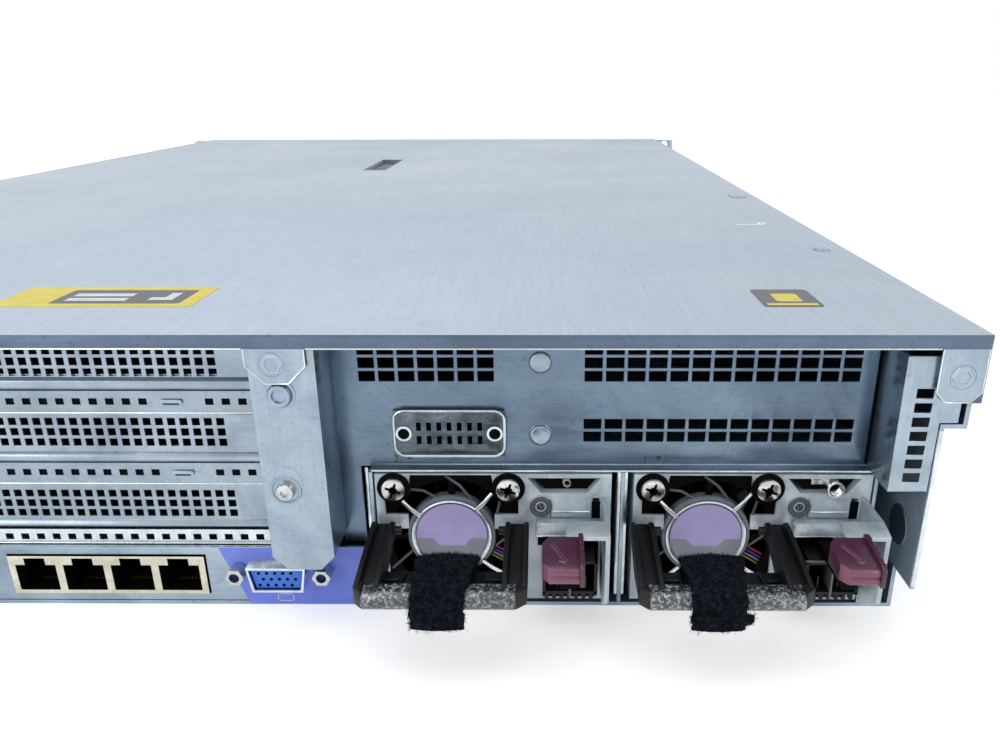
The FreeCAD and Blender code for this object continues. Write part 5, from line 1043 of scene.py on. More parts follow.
    def press_marks(self) -> None:
        """Presses the small stiffening marks along the cover's right edge."""
        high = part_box("access_panel")[1]
        top, rear = high.z, high.y
        parts = []
        for x, depth, width, length, lift, finish in (
                (-213.5, 249.0, 5.0, 13.0, 0.5, "zinc_steel"), (-213.5, 106.0, 3.5, 6.0, 0.5, "zinc_steel"),
                (-200.0, 160.0, 8.0, 2.2, 0.25, "white_film"),
                (-205.0, 162.0, 2.6, 3.0, 0.5, "bright_steel")):
            span = (x * MM - width * MM / 2 * 1.6, x * MM + width * MM / 2 * 1.6)
            along = (rear - (depth + length / 2) * MM, rear - (depth - length / 2) * MM)
            parts.append((slab(span, along, top - 0.2 * MM, top + lift * MM, Plane.FLAT,
                               min(width * 0.7, length * 0.48) * MM, 0.2 * MM), finish))
        self.bench.piece("cover_pressed_marks", parts, "top_panel", "cover_steel")


@dataclass(frozen=True)
class PunchedStrip:
    """A strip with a row of square holes below a slot cover. Heights are in millimetres.

    Attributes:
        foot: Its lower edge.
        top: Its upper edge.
        hole: The middle of its holes.
        out: How far it stands proud.
        finish: Its finish.
        skipped: The places in the row that have no hole, where a louvre is pressed instead.
    """

    foot: float
    top: float
    hole: float
    out: float
    finish: str
    skipped: tuple[int, ...] = ()


@dataclass
class RearWall:
    """The vent panel, the knock-out plate, the bracket with its knob and plunger, and the slot covers."""

    bench: Bench
    dimples: tuple[tuple[float, float], ...] = ((-112.6 * MM, 74.7 * MM), (-112.6 * MM, 53.6 * MM))
    dimple_radius: float = 2.8 * MM
    numerals: tuple[tuple[str, float, float], ...] = (("2", -71.5 * MM, 45.3 * MM),
                                                      ("1", -141.0 * MM, 45.3 * MM))
    bay_pitch: float = 118.8 * MM
    hole_pitch: float = 4.56 * MM
    hole_half: tuple[float, float] = (1.15 * MM, 0.95 * MM)
    first_hole: float = 6.2 * MM
    hole_places: int = 25
    louvre_from_end: float = 25.6 * MM
    ledges: tuple[tuple[float, float], ...] = ((70.6, 67.0), (48.4, 45.4), (27.1, 24.6))
    strips: tuple[PunchedStrip, ...] = (PunchedStrip(60.2, 66.6, 63.5, 0.35, "slot_steel", (3, 4, 5)),
                                        PunchedStrip(38.6, 45.0, 42.1, 0.35, "slot_steel", (3, 4, 5)),
                                        PunchedStrip(19.7, 24.2, 21.8, 1.2, "bright_steel"))

    def build(self) -> None:
        """Builds the rear wall."""
        # The vent panel takes the darker zinc, which is painted shade.
        for node, finish, radius in (("rear_vent_panel", "vent_panel_painted_shade", 0.18),
                                     ("side_vent_strip", "bracket_steel", 0.2),
                                     ("riser_bracket", "bracket_steel", 0.35),
                                     ("slot_covers", "slot_steel", 0.12),
                                     ("serial_cover", "brushed_steel", 0.18),
                                     ("riser_cages", "zinc_steel", 0.15),
                                     ("supply_cage", "zinc_steel", 0.2)):
            made = self.bench.soften(node, finish, radius * MM)
            if node == "slot_covers":
                self.lower_top_holes(made)
        self.trim_slots()
        self.bend_lip()
        self.hem_cage()
        self.raise_dimples()
        self.fit_knob()
        self.rim_plate()
        self.print_numerals()

    def lower_top_holes(self, covers: bpy.types.Object) -> None:
        """Sets the top slot covers' holes a little lower than the other rows', under the cover's flange.

        Args:
            covers: The slot covers' piece.
        """
        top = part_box("slot_covers")[1].z
        for vertex in covers.data.vertices:
            if top - 14.5 * MM < vertex.co.z < top - 0.5 * MM:
                vertex.co.z -= 1.6 * MM

    def trim_slots(self) -> None:
        """Folds each slot's lower ledge, and fits the punched strips with their pressed louvres."""
        low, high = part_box("slot_covers")
        parts = []
        for bay in (low.x, low.x + self.bay_pitch):
            near, far = bay + 0.3 * MM, bay + 117.5 * MM
            for top, foot in self.ledges:
                parts += self.fold_ledge(near, far, high.y, top, foot)
            for strip in self.strips:
                parts += self.punch_strip(near, far, high.y, strip)
        self.bench.piece("slot_ledges_and_strips", parts, "chassis", "zinc_steel")

    def fold_ledge(self, near: float, far: float, back: float, top: float,
                   foot: float) -> list[tuple[bmesh.types.BMesh, str]]:
        """Folds one slot cover's lower ledge, a thin black slab under it as a painted shadow line, and its
        two stepped end plates.

        Args:
            near: The ledge's end beside the bracket, in metres.
            far: Its other end.
            back: Y of the cover's face.
            top: The ledge's upper edge, in millimetres.
            foot: Its lower edge.

        Returns:
            Meshes and the names of their finishes.
        """
        sunk = back - 0.1 * MM
        shape = [(sunk, top * MM), (back + 0.8 * MM, (top - 1.1) * MM), (back + 1.0 * MM, (foot + 0.7) * MM),
                 (back + 0.5 * MM, foot * MM), (sunk, foot * MM)]
        parts = [(prism(shape, near, far, Plane.SIDE, 0.12 * MM), "slot_steel"),
                 # A thin black slab along the ledge's foot: painted shadow.
                 (slab((near, far), ((foot - 0.35) * MM, foot * MM), sunk, back + 0.2 * MM, Plane.FACE),
                  "deep_black")]
        for width, reach in ((11.5, 0.25), (9.0, 0.4)):
            parts.append((slab((near, near + width * MM), ((top + 0.4) * MM, (top + 11.4) * MM), sunk,
                               back + reach * MM, Plane.FACE, 0.8 * MM, 0.1 * MM), "slot_steel"))
        return parts

    def punch_strip(self, near: float, far: float, back: float,
                    strip: PunchedStrip) -> list[tuple[bmesh.types.BMesh, str]]:
        """Builds one punched strip, as its bars and webs, with a black slab behind its holes as painted shade
        and a bright rod along its foot as a painted highlight.

        Args:
            near: The strip's end beside the bracket, in metres.
            far: Its other end.
            back: Y of the slot covers' face.
            strip: The strip.

        Returns:
            Meshes and the names of their finishes.
        """
        wide, half = self.hole_half
        face, hole = back + strip.out * MM, strip.hole * MM
        foot, top, sunk, row = strip.foot * MM, strip.top * MM, back - 0.05 * MM, (hole - half, hole + half)
        starts = [near + self.first_hole + k * self.hole_pitch for k in range(self.hole_places)
                  if k not in strip.skipped]
        starts = [x for x in starts if x + wide < far - 1 * MM]
        edges = [near] + [x + side * wide for x in starts for side in (-1, 1)] + [far]
        boxes = [(span, row) for span in zip(edges[::2], edges[1::2])]
        boxes += [((near, far), (foot, row[0])), ((near, far), (row[1], top))]
        parts = [(slab(span, tall, sunk, face, Plane.FACE), strip.finish) for span, tall in boxes]
        # A black slab behind the holes: painted shade.
        parts.append((slab((near, far), row, sunk, back + 0.02 * MM, Plane.FACE), "deep_black"))
        # A bright rod along the strip's foot: painted edge highlight.
        parts.append((rod_along([Vector((near + (far - near) * k / 4, face - 0.02 * MM, foot))
                                 for k in range(5)],
                                0.24 * MM, 8), "bright_steel"))
        if strip.skipped:
            middle = near + self.louvre_from_end
            # Each louvre is a raised steel pad with a black slab at its lower side, painted shade in its
            # opening.
            for reach, under, over, out, corner, soft, finish in (
                    (3.1, 0.75, 0.75, 0.7, 0.7, 0.3, "bracket_steel"),
                    (2.2, 0.7, -0.25, 0.74, 0.0, 0.0, "black_plastic")):
                parts.append((slab((middle - reach * MM, middle + reach * MM),
                                   (hole - under * MM, hole + over * MM),
                                   face, face + out * MM, Plane.FACE, corner * MM, soft * MM), finish))
        return parts

    def bend_lip(self) -> None:
        """Bends the vent panel's lower lip out over the power supplies, with a bright rod along its cut edge
        as a painted highlight.
        """
        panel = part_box("rear_vent_panel")
        back = panel[1].y
        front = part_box("psu_1_screws")[1].y - 1.8 * MM
        right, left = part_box("psu_1_case")[0].x - 1.4 * MM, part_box("psu_2_case")[1].x + 1.2 * MM
        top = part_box("psu_1_case")[1].z
        shape = [(back - 0.4 * MM, top + 2.0 * MM), (back + 0.2 * MM, top + 2.0 * MM),
                 (back + 0.5 * MM, top + 1.6 * MM),
                 (back + 1.4 * MM, top + 1.35 * MM), (front, top + 1.15 * MM), (front, top + 0.55 * MM),
                 (back - 0.4 * MM, top + 0.6 * MM)]
        lip = prism(shape, right, left, Plane.SIDE, 0.12 * MM)
        # A bright rod along the cut edge: painted edge highlight.
        edge = rod_along([Vector((x, front, top + 0.85 * MM))
                          for x in (right + 0.5 * MM, (right + left) / 2, left - 0.5 * MM)], 0.34 * MM, 10)
        self.bench.piece("vent_panel_lip", [(lip, "slot_steel"), (edge, "bright_steel")], "chassis",
                         "zinc_steel")

    def hem_cage(self) -> None:
        """Folds the hems of the cage beside and between the power supplies, drawn bright as painted
        highlights.
        """
        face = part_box("psu_1_screws")[1].y - 1.4 * MM
        low, top = 3.2 * MM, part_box("psu_1_case")[1].z + 0.4 * MM
        inner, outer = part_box("psu_2_case")[1].x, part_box("psu_2_case")[0].x
        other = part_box("psu_1_case")[1].x
        middle = (outer + other) / 2
        parts = []
        # The hems take the bright finish: painted highlight.
        for centre, wide, back in ((middle, 3.0, 0.9), (inner + 1.2 * MM, 1.1, 1.2),
                                   (inner + 2.9 * MM, 1.2, 3.4)):
            parts.append((slab((centre - wide * MM / 2, centre + wide * MM / 2), (low, top),
                               face - (back + 7) * MM,
                               face - back * MM, Plane.FACE, 0.0, 0.4 * MM), "bright_steel"))
        self.bench.piece("cage_hems", parts, "chassis", "zinc_steel")

    def raise_dimples(self) -> None:
        """Raises the two round forming dimples between the vents."""
        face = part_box("rear_vent_panel")[1].y
        r = self.dimple_radius
        profile = [(r * 1.15, -0.05 * MM), (r * 1.08, 0.1 * MM), (r * 0.98, 0.5 * MM), (r * 0.86, 0.62 * MM),
                   (r * 0.6, 0.42 * MM), (0.0, 0.34 * MM)]
        self.bench.piece("vent_panel_dimples", [(lathe(profile, (x, face, z)), "slot_steel")
                                                for x, z in self.dimples], "chassis", "zinc_steel")

    def fit_knob(self) -> None:
        """Turns the bracket's knurled captive screw and its spring plunger."""
        low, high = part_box("bracket_fittings")
        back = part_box("riser_bracket")[1].y
        knob_x, knob_z = -47.0 * MM, high.z - 3.15 * MM
        pin_x, pin_z = -45.5 * MM, low.z + 2.5 * MM
        knob = lathe([(3.1 * MM, -0.6 * MM), (3.1 * MM, 1.0 * MM), (2.8 * MM, 1.5 * MM), (1.9 * MM, 1.6 * MM),
                      (1.7 * MM, 0.7 * MM), (0.0, 0.6 * MM)], (knob_x, back, knob_z), 36)
        collar = lathe([(3.9 * MM, -0.2 * MM), (3.9 * MM, 0.15 * MM), (3.3 * MM, 0.3 * MM)],
                       (knob_x, back, knob_z), 40)
        rim = lathe([(4.3 * MM, -0.1 * MM), (4.1 * MM, 0.28 * MM), (3.5 * MM, 0.3 * MM),
                     (3.1 * MM, -0.3 * MM),
                     (2.6 * MM, -0.5 * MM)], (pin_x, back, pin_z), 40)
        pin = lathe([(2.5 * MM, -0.8 * MM), (2.5 * MM, 1.3 * MM), (2.2 * MM, 1.8 * MM), (1.0 * MM, 2.0 * MM),
                     (0.8 * MM, 1.4 * MM), (0.0, 1.4 * MM)], (pin_x, back, pin_z), 36)
        plate = lathe([(4.9 * MM, -0.1 * MM), (4.9 * MM, 0.06 * MM), (0.0, 0.06 * MM)],
                      (pin_x, back, (low.z + 4.35 * MM)), 48)
        self.bench.piece("bracket_knob_and_plunger", [(knob, "zinc_steel"), (collar, "zinc_steel"),
                                                      (plate, "bracket_steel"),
                                                      (rim, "zinc_steel"), (pin, "screw_steel")],
                         "chassis", self.bench.slot["bracket_fittings"], "bracket_fittings")

    def rim_plate(self) -> None:
        """Rolls the rim of the knock-out plate and the collars of its two holes, drawn bright as painted
        highlights, with black discs in the holes as painted shade.
        """
        low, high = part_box("serial_cover")
        centre_x, centre_z = (low.x + high.x) / 2, (low.z + high.z) / 2
        parts = []
        corner, wide = 3.0 * MM, 0.45 * MM
        outline = []
        for cx, cz, start in ((high.x - corner, high.z - corner, 0), (low.x + corner, high.z - corner, 90),
                              (low.x + corner, low.z + corner, 180), (high.x - corner, low.z + corner, 270)):
            outline += [Vector((cx + corner * math.cos(math.radians(start + k * 15)), high.y + 0.05 * MM,
                                cz + corner * math.sin(math.radians(start + k * 15)))) for k in range(7)]
        # The bright rim rod: painted edge highlight.
        parts.append((rod_along(outline + [outline[0]], wide, 8), "bright_steel"))
        for side in (-1, 1):
            parts.append((lathe([(2.3 * MM, 0.0), (2.2 * MM, 0.35 * MM), (1.6 * MM, 0.4 * MM),
                                 (1.5 * MM, -0.6 * MM)],
                                (centre_x + side * 12.5 * MM, high.y, centre_z), 32), "bright_steel"))
            # A black disc in each hole: painted shade.
            parts.append((lathe([(1.55 * MM, 0.02 * MM), (1.55 * MM, 0.08 * MM), (0.0, 0.08 * MM)],
                                (centre_x + side * 12.5 * MM, high.y, centre_z), 32), "deep_black"))
        self.bench.piece("knockout_plate_rims", parts, "chassis", "zinc_steel")

    def print_numerals(self) -> None:
        """Prints the bay numerals and their small pointers above the power supplies."""
        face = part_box("rear_vent_panel")[1].y
        for text, x, z in self.numerals:
            curve = bpy.data.curves.new("numeral", "FONT")
            curve.body = text
            curve.size = 3.0 * MM
            curve.extrude = 0.02 * MM
            letter = bpy.data.objects.new("numeral", curve)
            bpy.context.scene.collection.objects.link(letter)
            letter.rotation_euler = (math.pi / 2, 0, math.pi)
            letter.location = (x, face + 0.03 * MM, z)
            bpy.context.view_layer.update()
            mesh = bpy.data.meshes.new_from_object(letter)
            mesh.transform(letter.matrix_world)
            work = bmesh.new()
            work.from_mesh(mesh)
            bpy.data.objects.remove(letter)
            pointer = prism([(x - 3.6 * MM, z + 1.9 * MM), (x - 5.4 * MM, z + 1.9 * MM),
                             (x - 4.5 * MM, z + 0.4 * MM)],
                            face, face + 0.05 * MM, Plane.FACE)
            self.bench.piece(f"bay_numeral_{text}", [(work, "black_ink"), (pointer, "black_ink")], "chassis",
                             "black_plastic")


@dataclass
class PortRow:
    """The network jacks, the video port and the slanted blue label round it."""

    bench: Bench
    label_top_x: float = -19.5 * MM
    label_foot_x: float = -26.8 * MM
    label_end_x: float = -62.3 * MM
    film: float = 0.12 * MM
    socket_shoves: tuple[float, ...] = (0.5 * MM, -0.65 * MM, 0.5 * MM)
    socket_pitch: float = 2.3 * MM
    socket_row_pitch: float = 1.95 * MM
    socket_radius: float = 0.5 * MM

    def build(self) -> None:
        """Builds the port row."""
        for node, radius in (("io_panel", 0.2), ("vga_shell", 0.2),
                             ("vga_jackscrews", 0.15), ("usb_ports", 0.12), ("vga_insert", 0.12)):
            self.bench.soften(node, radius=radius * MM)
        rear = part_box("network_ports")[1].y
        self.bench.soften("network_ports", "deep_black", 0.18 * MM, rear_finish="tin_shield",
                          rear_from=rear - 1 * MM)
        for node in ("network_contacts", "id_button"):
            self.bench.dress(node)
        self.face_video_port()
        self.stick_label()

    def face_video_port(self) -> None:
        """Fits the blue face of the video port with its fifteen sockets in three staggered rows."""
        low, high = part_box("vga_insert")
        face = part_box("vga_shell")[1].y - 0.8 * MM
        middle = (low.x + high.x) / 2
        shape = [(low.x + 0.3 * MM, high.z - 0.4 * MM), (high.x - 0.3 * MM, high.z - 0.4 * MM),
                 (high.x - 1.6 * MM, low.z + 0.4 * MM), (low.x + 1.6 * MM, low.z + 0.4 * MM)]
        parts = [(prism(shape, face - 2.2 * MM, face, Plane.FACE, 0.25 * MM), "blue_plastic")]
        for row, shove in enumerate(self.socket_shoves):
            for column in range(5):
                spot = (middle + (column - 2) * self.socket_pitch + shove, face,
                        high.z - 1.35 * MM - row * self.socket_row_pitch)
                # Each socket is a black disc on the face: painted shade in its hole.
                parts.append((lathe([(self.socket_radius, -0.02 * MM), (self.socket_radius, 0.03 * MM),
                                     (0.38 * MM, 0.05 * MM), (0.0, 0.02 * MM)], spot, 16), "deep_black"))
        self.bench.piece("video_port_face", parts, "chassis", "blue_plastic")

    def stick_label(self) -> None:
        """Sticks on the blue label, with a plain screen outline under the video port."""
        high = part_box("io_panel")[1]
        face = high.y
        shape = [(self.label_top_x, high.z - 0.25 * MM), (self.label_end_x, high.z - 0.25 * MM),
                 (self.label_end_x, 0.35 * MM), (self.label_foot_x, 0.35 * MM)]
        parts = [(prism(shape, face, face + self.film, Plane.FACE), "blue_film")]
        x, z, reach = -37.4 * MM, 2.6 * MM, self.film * 1.5
        for span, tall in (((x - 2.4 * MM, x + 2.4 * MM), (z + 1.0 * MM, z + 1.3 * MM)),
                           ((x - 2.4 * MM, x + 2.4 * MM), (z - 1.3 * MM, z - 1.0 * MM)),
                           ((x - 2.4 * MM, x - 2.1 * MM), (z - 1.3 * MM, z + 1.3 * MM)),
                           ((x + 2.1 * MM, x + 2.4 * MM), (z - 1.3 * MM, z + 1.3 * MM))):
            parts.append((slab(span, tall, face, face + reach, Plane.FACE), "white_film"))
        self.bench.piece("video_port_label", parts, "chassis", "blue_plastic")


@dataclass
class PowerSupply:
    """One hot-plug supply: its face, fan guard, screws, release latch, carrying handle and strap.

    Places on its face are given in millimetres from its inner side edge, from the floor, and out
    from its face.
    """

    bench: Bench
    number: int
    screw_head: float = 1.4 * MM
    hub_radius: float = 12.6 * MM
    sticker_radius: float = 10.2 * MM
    hub: tuple[float, float] = (20.9, 23.6)
    screws_along: tuple[float, float] = (5.2, 37.2)
    screws_up: float = 38.7
    lamp: tuple[float, float] = (46.3, 33.2)
    strap_width: float = 14.4 * MM
    strap_seed: int = 7

    def __post_init__(self) -> None:
        """Finds the supply's corner and face from its CAD nodes."""
        self.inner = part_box(self.node("case"))[1].x
        self.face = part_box(self.node("screws"))[1].y - self.screw_head
        self.body = f"psu_{self.number}"

    def node(self, kind: str) -> str:
        """The name of one of this supply's CAD nodes."""
        return f"psu_{self.number}_{kind}"

    def at(self, along: float, up: float, out: float) -> Vector:
        """A point from local millimetres: along from the inner edge, up from the floor, out from the face."""
        return Vector((self.inner - along * MM, self.face + out * MM, up * MM))

    def flat_outline(self, points: list[tuple[float, float]]) -> list[tuple[float, float]]:
        """Local along and up millimetres as X and Z."""
        return [(self.inner - along * MM, up * MM) for along, up in points]

    def build(self) -> None:
        """Builds the supply."""
        above = slab((self.inner - 9.8 * MM, self.inner - 32.6 * MM), (39.0 * MM, 42.7 * MM),
                     self.face - 1.6 * MM, self.face + 0.5 * MM, Plane.FACE)
        under = prism([(self.face + 3.0 * MM, 2.0 * MM), (self.face + 24 * MM, 2.0 * MM),
                       (self.face + 24 * MM, 18.0 * MM)], self.inner - 66.5 * MM, self.inner - 62.6 * MM,
                       Plane.SIDE)
        lugs = [slab((self.inner - a * MM, self.inner - b * MM), (24.4 * MM, 31.4 * MM),
                     self.face + 0.03 * MM,
                     self.face + 12 * MM, Plane.FACE) for a, b in ((2.3, 9.5), (32.8, 40.1))]
        self.bench.soften(self.node("case"), "supply_metal", 0.22 * MM, cuts=(above, under, *lugs))
        self.bench.dress(self.node("fan"), "deep_black")
        self.bench.dress(self.node("rotor"), "deep_black")
        self.mould_inlet()
        self.drive_screws()
        self.make_guard()
        self.run_wires()
        self.dress_face()
        self.mould_latch()
        self.mould_handle()
        self.wrap_strap()

    def drive_screws(self) -> None:
        """Drives the two cross-head screws with their dark washers."""
        parts = []
        for along in self.screws_along:
            spot = self.at(along, self.screws_up, 0.0)
            washer = lathe([(4.7 * MM, 0.0), (4.7 * MM, 0.3 * MM), (4.4 * MM, 0.55 * MM),
                            (3.4 * MM, 0.6 * MM)],
                           tuple(spot), 40)
            head = lathe([(3.4 * MM, 0.3 * MM), (3.45 * MM, 1.2 * MM), (3.25 * MM, 1.65 * MM),
                          (2.9 * MM, 1.82 * MM),
                          (0.0, 1.9 * MM)], tuple(spot), 44)
            parts.append((washer, "deep_black"))
            parts.append((head, "screw_steel"))
            # The cross recess is a flat black cross on the head: painted shade.
            for turn, long, wide in ((0.35, 2.3, 0.62), (0.35 + math.pi / 2, 2.3, 0.62), (1.14, 1.3, 0.5),
                                     (1.14 + math.pi / 2, 1.3, 0.5)):
                arm = Vector((math.cos(turn), 0, math.sin(turn))) * long * MM
                side = Vector((-math.sin(turn), 0, math.cos(turn))) * wide * MM
                shape = [spot + arm + side * 0.45, spot + side, spot - arm + side * 0.45,
                         spot - arm - side * 0.45,
                         spot - side, spot + arm - side * 0.45]
                parts.append((prism([(q.x, q.z) for q in shape], spot.y + 1.5 * MM, spot.y + 1.94 * MM,
                                    Plane.FACE), "deep_black"))
        self.bench.piece(f"supply_{self.number}_screws", parts, self.body,
                         self.bench.slot[self.node("screws")], self.node("screws"))

    def make_guard(self) -> None:
        """Makes the fan's hub ring, its two-tone sticker, the bright clips and the grey struts."""
        centre = self.at(*self.hub, 0.0)
        r = self.hub_radius
        ring = lathe([(r, -3.0 * MM), (r, -0.3 * MM), (r * 0.98, 0.1 * MM), (r * 0.92, 0.15 * MM),
                      (r * 0.91, -0.2 * MM)], tuple(centre), 72)
        inner = lathe([(r * 0.915, -0.1 * MM), (r * 0.9, 0.62 * MM), (r * 0.87, 0.72 * MM),
                       (r * 0.83, 0.3 * MM),
                       (r * 0.815, 0.02 * MM)], tuple(centre), 72)
        disc = lathe([(self.sticker_radius, 0.1 * MM), (self.sticker_radius, 0.22 * MM), (0.0, 0.22 * MM)],
                     tuple(centre), 72)
        upper = [(self.sticker_radius * math.cos(math.radians(a)),
                  self.sticker_radius * math.sin(math.radians(a)))
                 for a in range(-5, 186, 5)]
        tab = [(-5.6 * MM, -0.9 * MM), (-3.6 * MM, -3.2 * MM), (3.6 * MM, -3.2 * MM), (5.6 * MM, -0.9 * MM)]
        field_shape = [(centre.x + a * 0.985, centre.z + b * 0.985) for a, b in upper + tab]
        purple = prism(field_shape, centre.y + 0.2 * MM, centre.y + 0.27 * MM, Plane.FACE)
        parts = [(ring, "grey_abs_ring"), (inner, "bright_steel"), (disc, "grey_film"),
                 (purple, "purple_film")]
        for start, end in (((7.4, 34.8), (12.4, 30.0)), ((32.7, 37.2), (28.1, 32.0)),
                           ((29.6, 15.6), (36.6, 10.6)), ((13.6, 13.6), (8.6, 9.4))):
            points = [self.at(start[0], start[1], 0.4), self.at((start[0] * 0.6 + end[0] * 0.4),
                                                                (start[1] * 0.6 + end[1] * 0.4), 0.9),
                      self.at(end[0], end[1], 0.5)]
            parts.append((rod_along(points, 0.62 * MM, 12, 0.6), "bright_steel"))
        for start, end, bend in (((19.6, 42.0), (26.6, 35.0), 0.5), ((7.6, 38.0), (17.4, 35.0), 0.9),
                                 ((2.6, 23.4), (9.6, 28.4), 0.4), ((39.6, 24.9), (33.4, 20.0), -0.4),
                                 ((34.8, 38.4), (33.6, 29.0), 0.6), ((3.0, 12.0), (9.4, 18.2), 0.5)):
            middle = ((start[0] + end[0]) / 2 + bend, (start[1] + end[1]) / 2 + bend)
            points = [self.at(*start, -1.2), self.at(*middle, -0.9), self.at(*end, -0.8)]
            parts.append((rod_along(points, 0.42 * MM, 10), "grey_plastic"))
        self.bench.piece(f"supply_{self.number}_fan_guard", parts, self.body, "black_plastic")

    def run_wires(self) -> None:
        """Runs the fan's four thin leads behind the guard."""
        parts = []
        for row, finish in enumerate(("red_wire", "blue_wire", "white_wire", "yellow_wire")):
            drop = row * 1.15
            points = [self.at(31.4, 20.4 - drop, -1.6), self.at(34.4, 18.9 - drop * 1.05, -1.3),
                      self.at(37.0, 17.2 - drop * 1.1, -1.7), self.at(40.2, 14.4 - drop * 1.2, -3.2)]
            parts.append((rod_along(points, 0.3 * MM, 10), finish))
        self.bench.piece(f"supply_{self.number}_fan_leads", parts, self.body, "black_plastic")

    def dress_face(self) -> None:
        """Adds the lamp's ring, a black plate deep in the notch as painted shade, the notch's threaded
        sleeve, and the bare label strip; bright rods along the strip's hem and a pressed line are painted
        highlights.
        """
        lamp = self.at(*self.lamp, 0.0)
        parts = [(lathe([(3.15 * MM, 0.0), (3.15 * MM, 0.9 * MM), (2.8 * MM, 1.2 * MM), (1.9 * MM, 1.15 * MM),
                         (1.5 * MM, 0.5 * MM), (1.2 * MM, 0.45 * MM)], tuple(lamp), 40), "grey_plastic"),
                 (lathe([(1.2 * MM, 0.45 * MM), (1.1 * MM, 0.8 * MM), (0.6 * MM, 1.0 * MM), (0.0, 1.05 * MM)],
                        tuple(lamp), 28), "dark_glass")]
        # A black plate deep in the notch: painted shade.
        lining = self.flat_outline([(47.6, 37.5), (59.4, 37.5), (62.4, 41.9), (43.4, 41.9)])
        parts.append((prism(lining, self.face - 3.2 * MM, self.face - 2.2 * MM, Plane.FACE), "deep_black"))
        parts.append((slab((self.inner - 60.6 * MM, self.inner - 63.0 * MM), (29.3 * MM, 34.6 * MM),
                           self.face,
                           self.face + 0.12 * MM, Plane.FACE), "deep_black"))
        parts.append((slab((self.inner - 45.4 * MM, self.inner - 62.4 * MM), (20.5 * MM, 26.2 * MM),
                           self.face,
                           self.face + 0.12 * MM, Plane.FACE), "deep_black"))
        parts += self.threads()
        plate = self.flat_outline([(44.8, 25.2), (62.8, 25.2), (62.8, 29.6), (46.0, 29.6), (44.8, 28.6)])
        parts.append((prism(plate, self.face + 0.6 * MM, self.face + 3.4 * MM, Plane.FACE, 0.35 * MM),
                      "supply_metal"))
        # A bright rod along the plate's hem: painted edge highlight.
        hem = [self.at(along, 25.4, 3.3) for along in (45.2, 54.0, 62.6)]
        parts.append((rod_along(hem, 0.3 * MM, 10), "bright_steel"))
        parts.append((slab((self.inner - 49.2 * MM, self.inner - 60.5 * MM), (29.7 * MM, 37.1 * MM),
                           self.face - 0.1 * MM,
                           self.face + 0.3 * MM, Plane.FACE, 0.0, 0.08 * MM), "supply_metal"))
        # A bright rod along the pressed line: painted highlight.
        pressed = [self.at(along, 31.6, 0.35) for along in (49.6, 54.0, 60.0)]
        parts.append((rod_along(pressed, 0.28 * MM, 10), "bright_steel"))
        self.bench.piece(f"supply_{self.number}_face_details", parts, self.body, "supply_metal")

    def threads(self) -> list[tuple[bmesh.types.BMesh, str]]:
        """Makes the threaded sleeve or the small spring that shows in the notch.

        Returns:
            Meshes and the names of their finishes.
        """
        if self.number == 1:
            spot, wide, reach = self.at(55.6, 39.0, 0.0), 2.5 * MM, 1.6 * MM
            profile = [(wide, -6.0 * MM), (wide, reach - 0.2 * MM), (wide * 0.93, reach),
                       (wide * 0.78, reach)]
            for turn in range(6):
                depth = reach - 0.35 * MM - turn * 0.42 * MM
                profile += [(wide * 0.66, depth), (wide * 0.78, depth - 0.2 * MM)]
            collar = slab((spot.x - 0.6 * MM, spot.x + 6.4 * MM), (spot.z + 0.4 * MM, spot.z + 3.2 * MM),
                          self.face - 5.0 * MM, self.face - 0.8 * MM, Plane.FACE, 0.0, 0.5 * MM)
            return [(lathe(profile, tuple(spot), 32), "screw_steel"), (collar, "screw_steel")]
        coil = [self.at(53.6 + 1.1 * math.cos(t * 0.9), 39.9 + 1.1 * math.sin(t * 0.9), -2.1 + t * 0.045)
                for t in range(40)]
        return [(rod_along(coil, 0.16 * MM, 8), "screw_steel")]

    def mould_inlet(self) -> None:
        """Moulds the supply's inlet: a black housing with two cavities and a comb along its foot."""
        left, right, top, foot, out = 46.8, 62.0, 21.8, 11.2, 10.6

        def block(a0: float, a1: float, z0: float, z1: float, p0: float, p1: float,
                  soft: float = 0.12) -> bmesh.types.BMesh:
            """A block between two local corners."""
            return slab((self.inner - a0 * MM, self.inner - a1 * MM), (z0 * MM, z1 * MM), self.face + p0 * MM,
                        self.face + p1 * MM, Plane.FACE, 0.0, soft * MM)

        parts = [(block(left, left + 0.9, foot, top, 0, out), "black_plastic"),
                 (block(right - 0.9, right, foot, top, 0, out), "black_plastic"),
                 (block(left, right, top - 1.0, top, 0, out), "black_plastic"),
                 (block(left, right, foot, foot + 0.9, 0, out), "black_plastic"),
                 (block(left, right, 3.4, top, 0.05, 0.5), "deep_black"),
                 (block(54.1, 54.7, foot - 1.2, top - 0.6, 3.0, out + 0.1), "grey_abs_ring"),
                 (block(left - 0.2, 53.4, top - 0.1, top + 0.25, out - 0.5, out + 0.15), "grey_abs_ring")]
        along = left + 0.6
        while along < right - 0.8:
            parts.append((block(along, along + 1.15, foot - 1.5, foot + 0.1, out - 1.6, out),
                          "black_plastic"))
            along += 2.05
        for start in (48.6, 50.8, 56.4, 58.6):
            parts.append((block(start, start + 0.5, foot + 0.8, foot + 5.0, 1.0, out - 1.4), "black_plastic"))
        self.bench.piece(f"supply_{self.number}_inlet_housing", parts, self.body, "black_plastic",
                         self.node("inlet"))

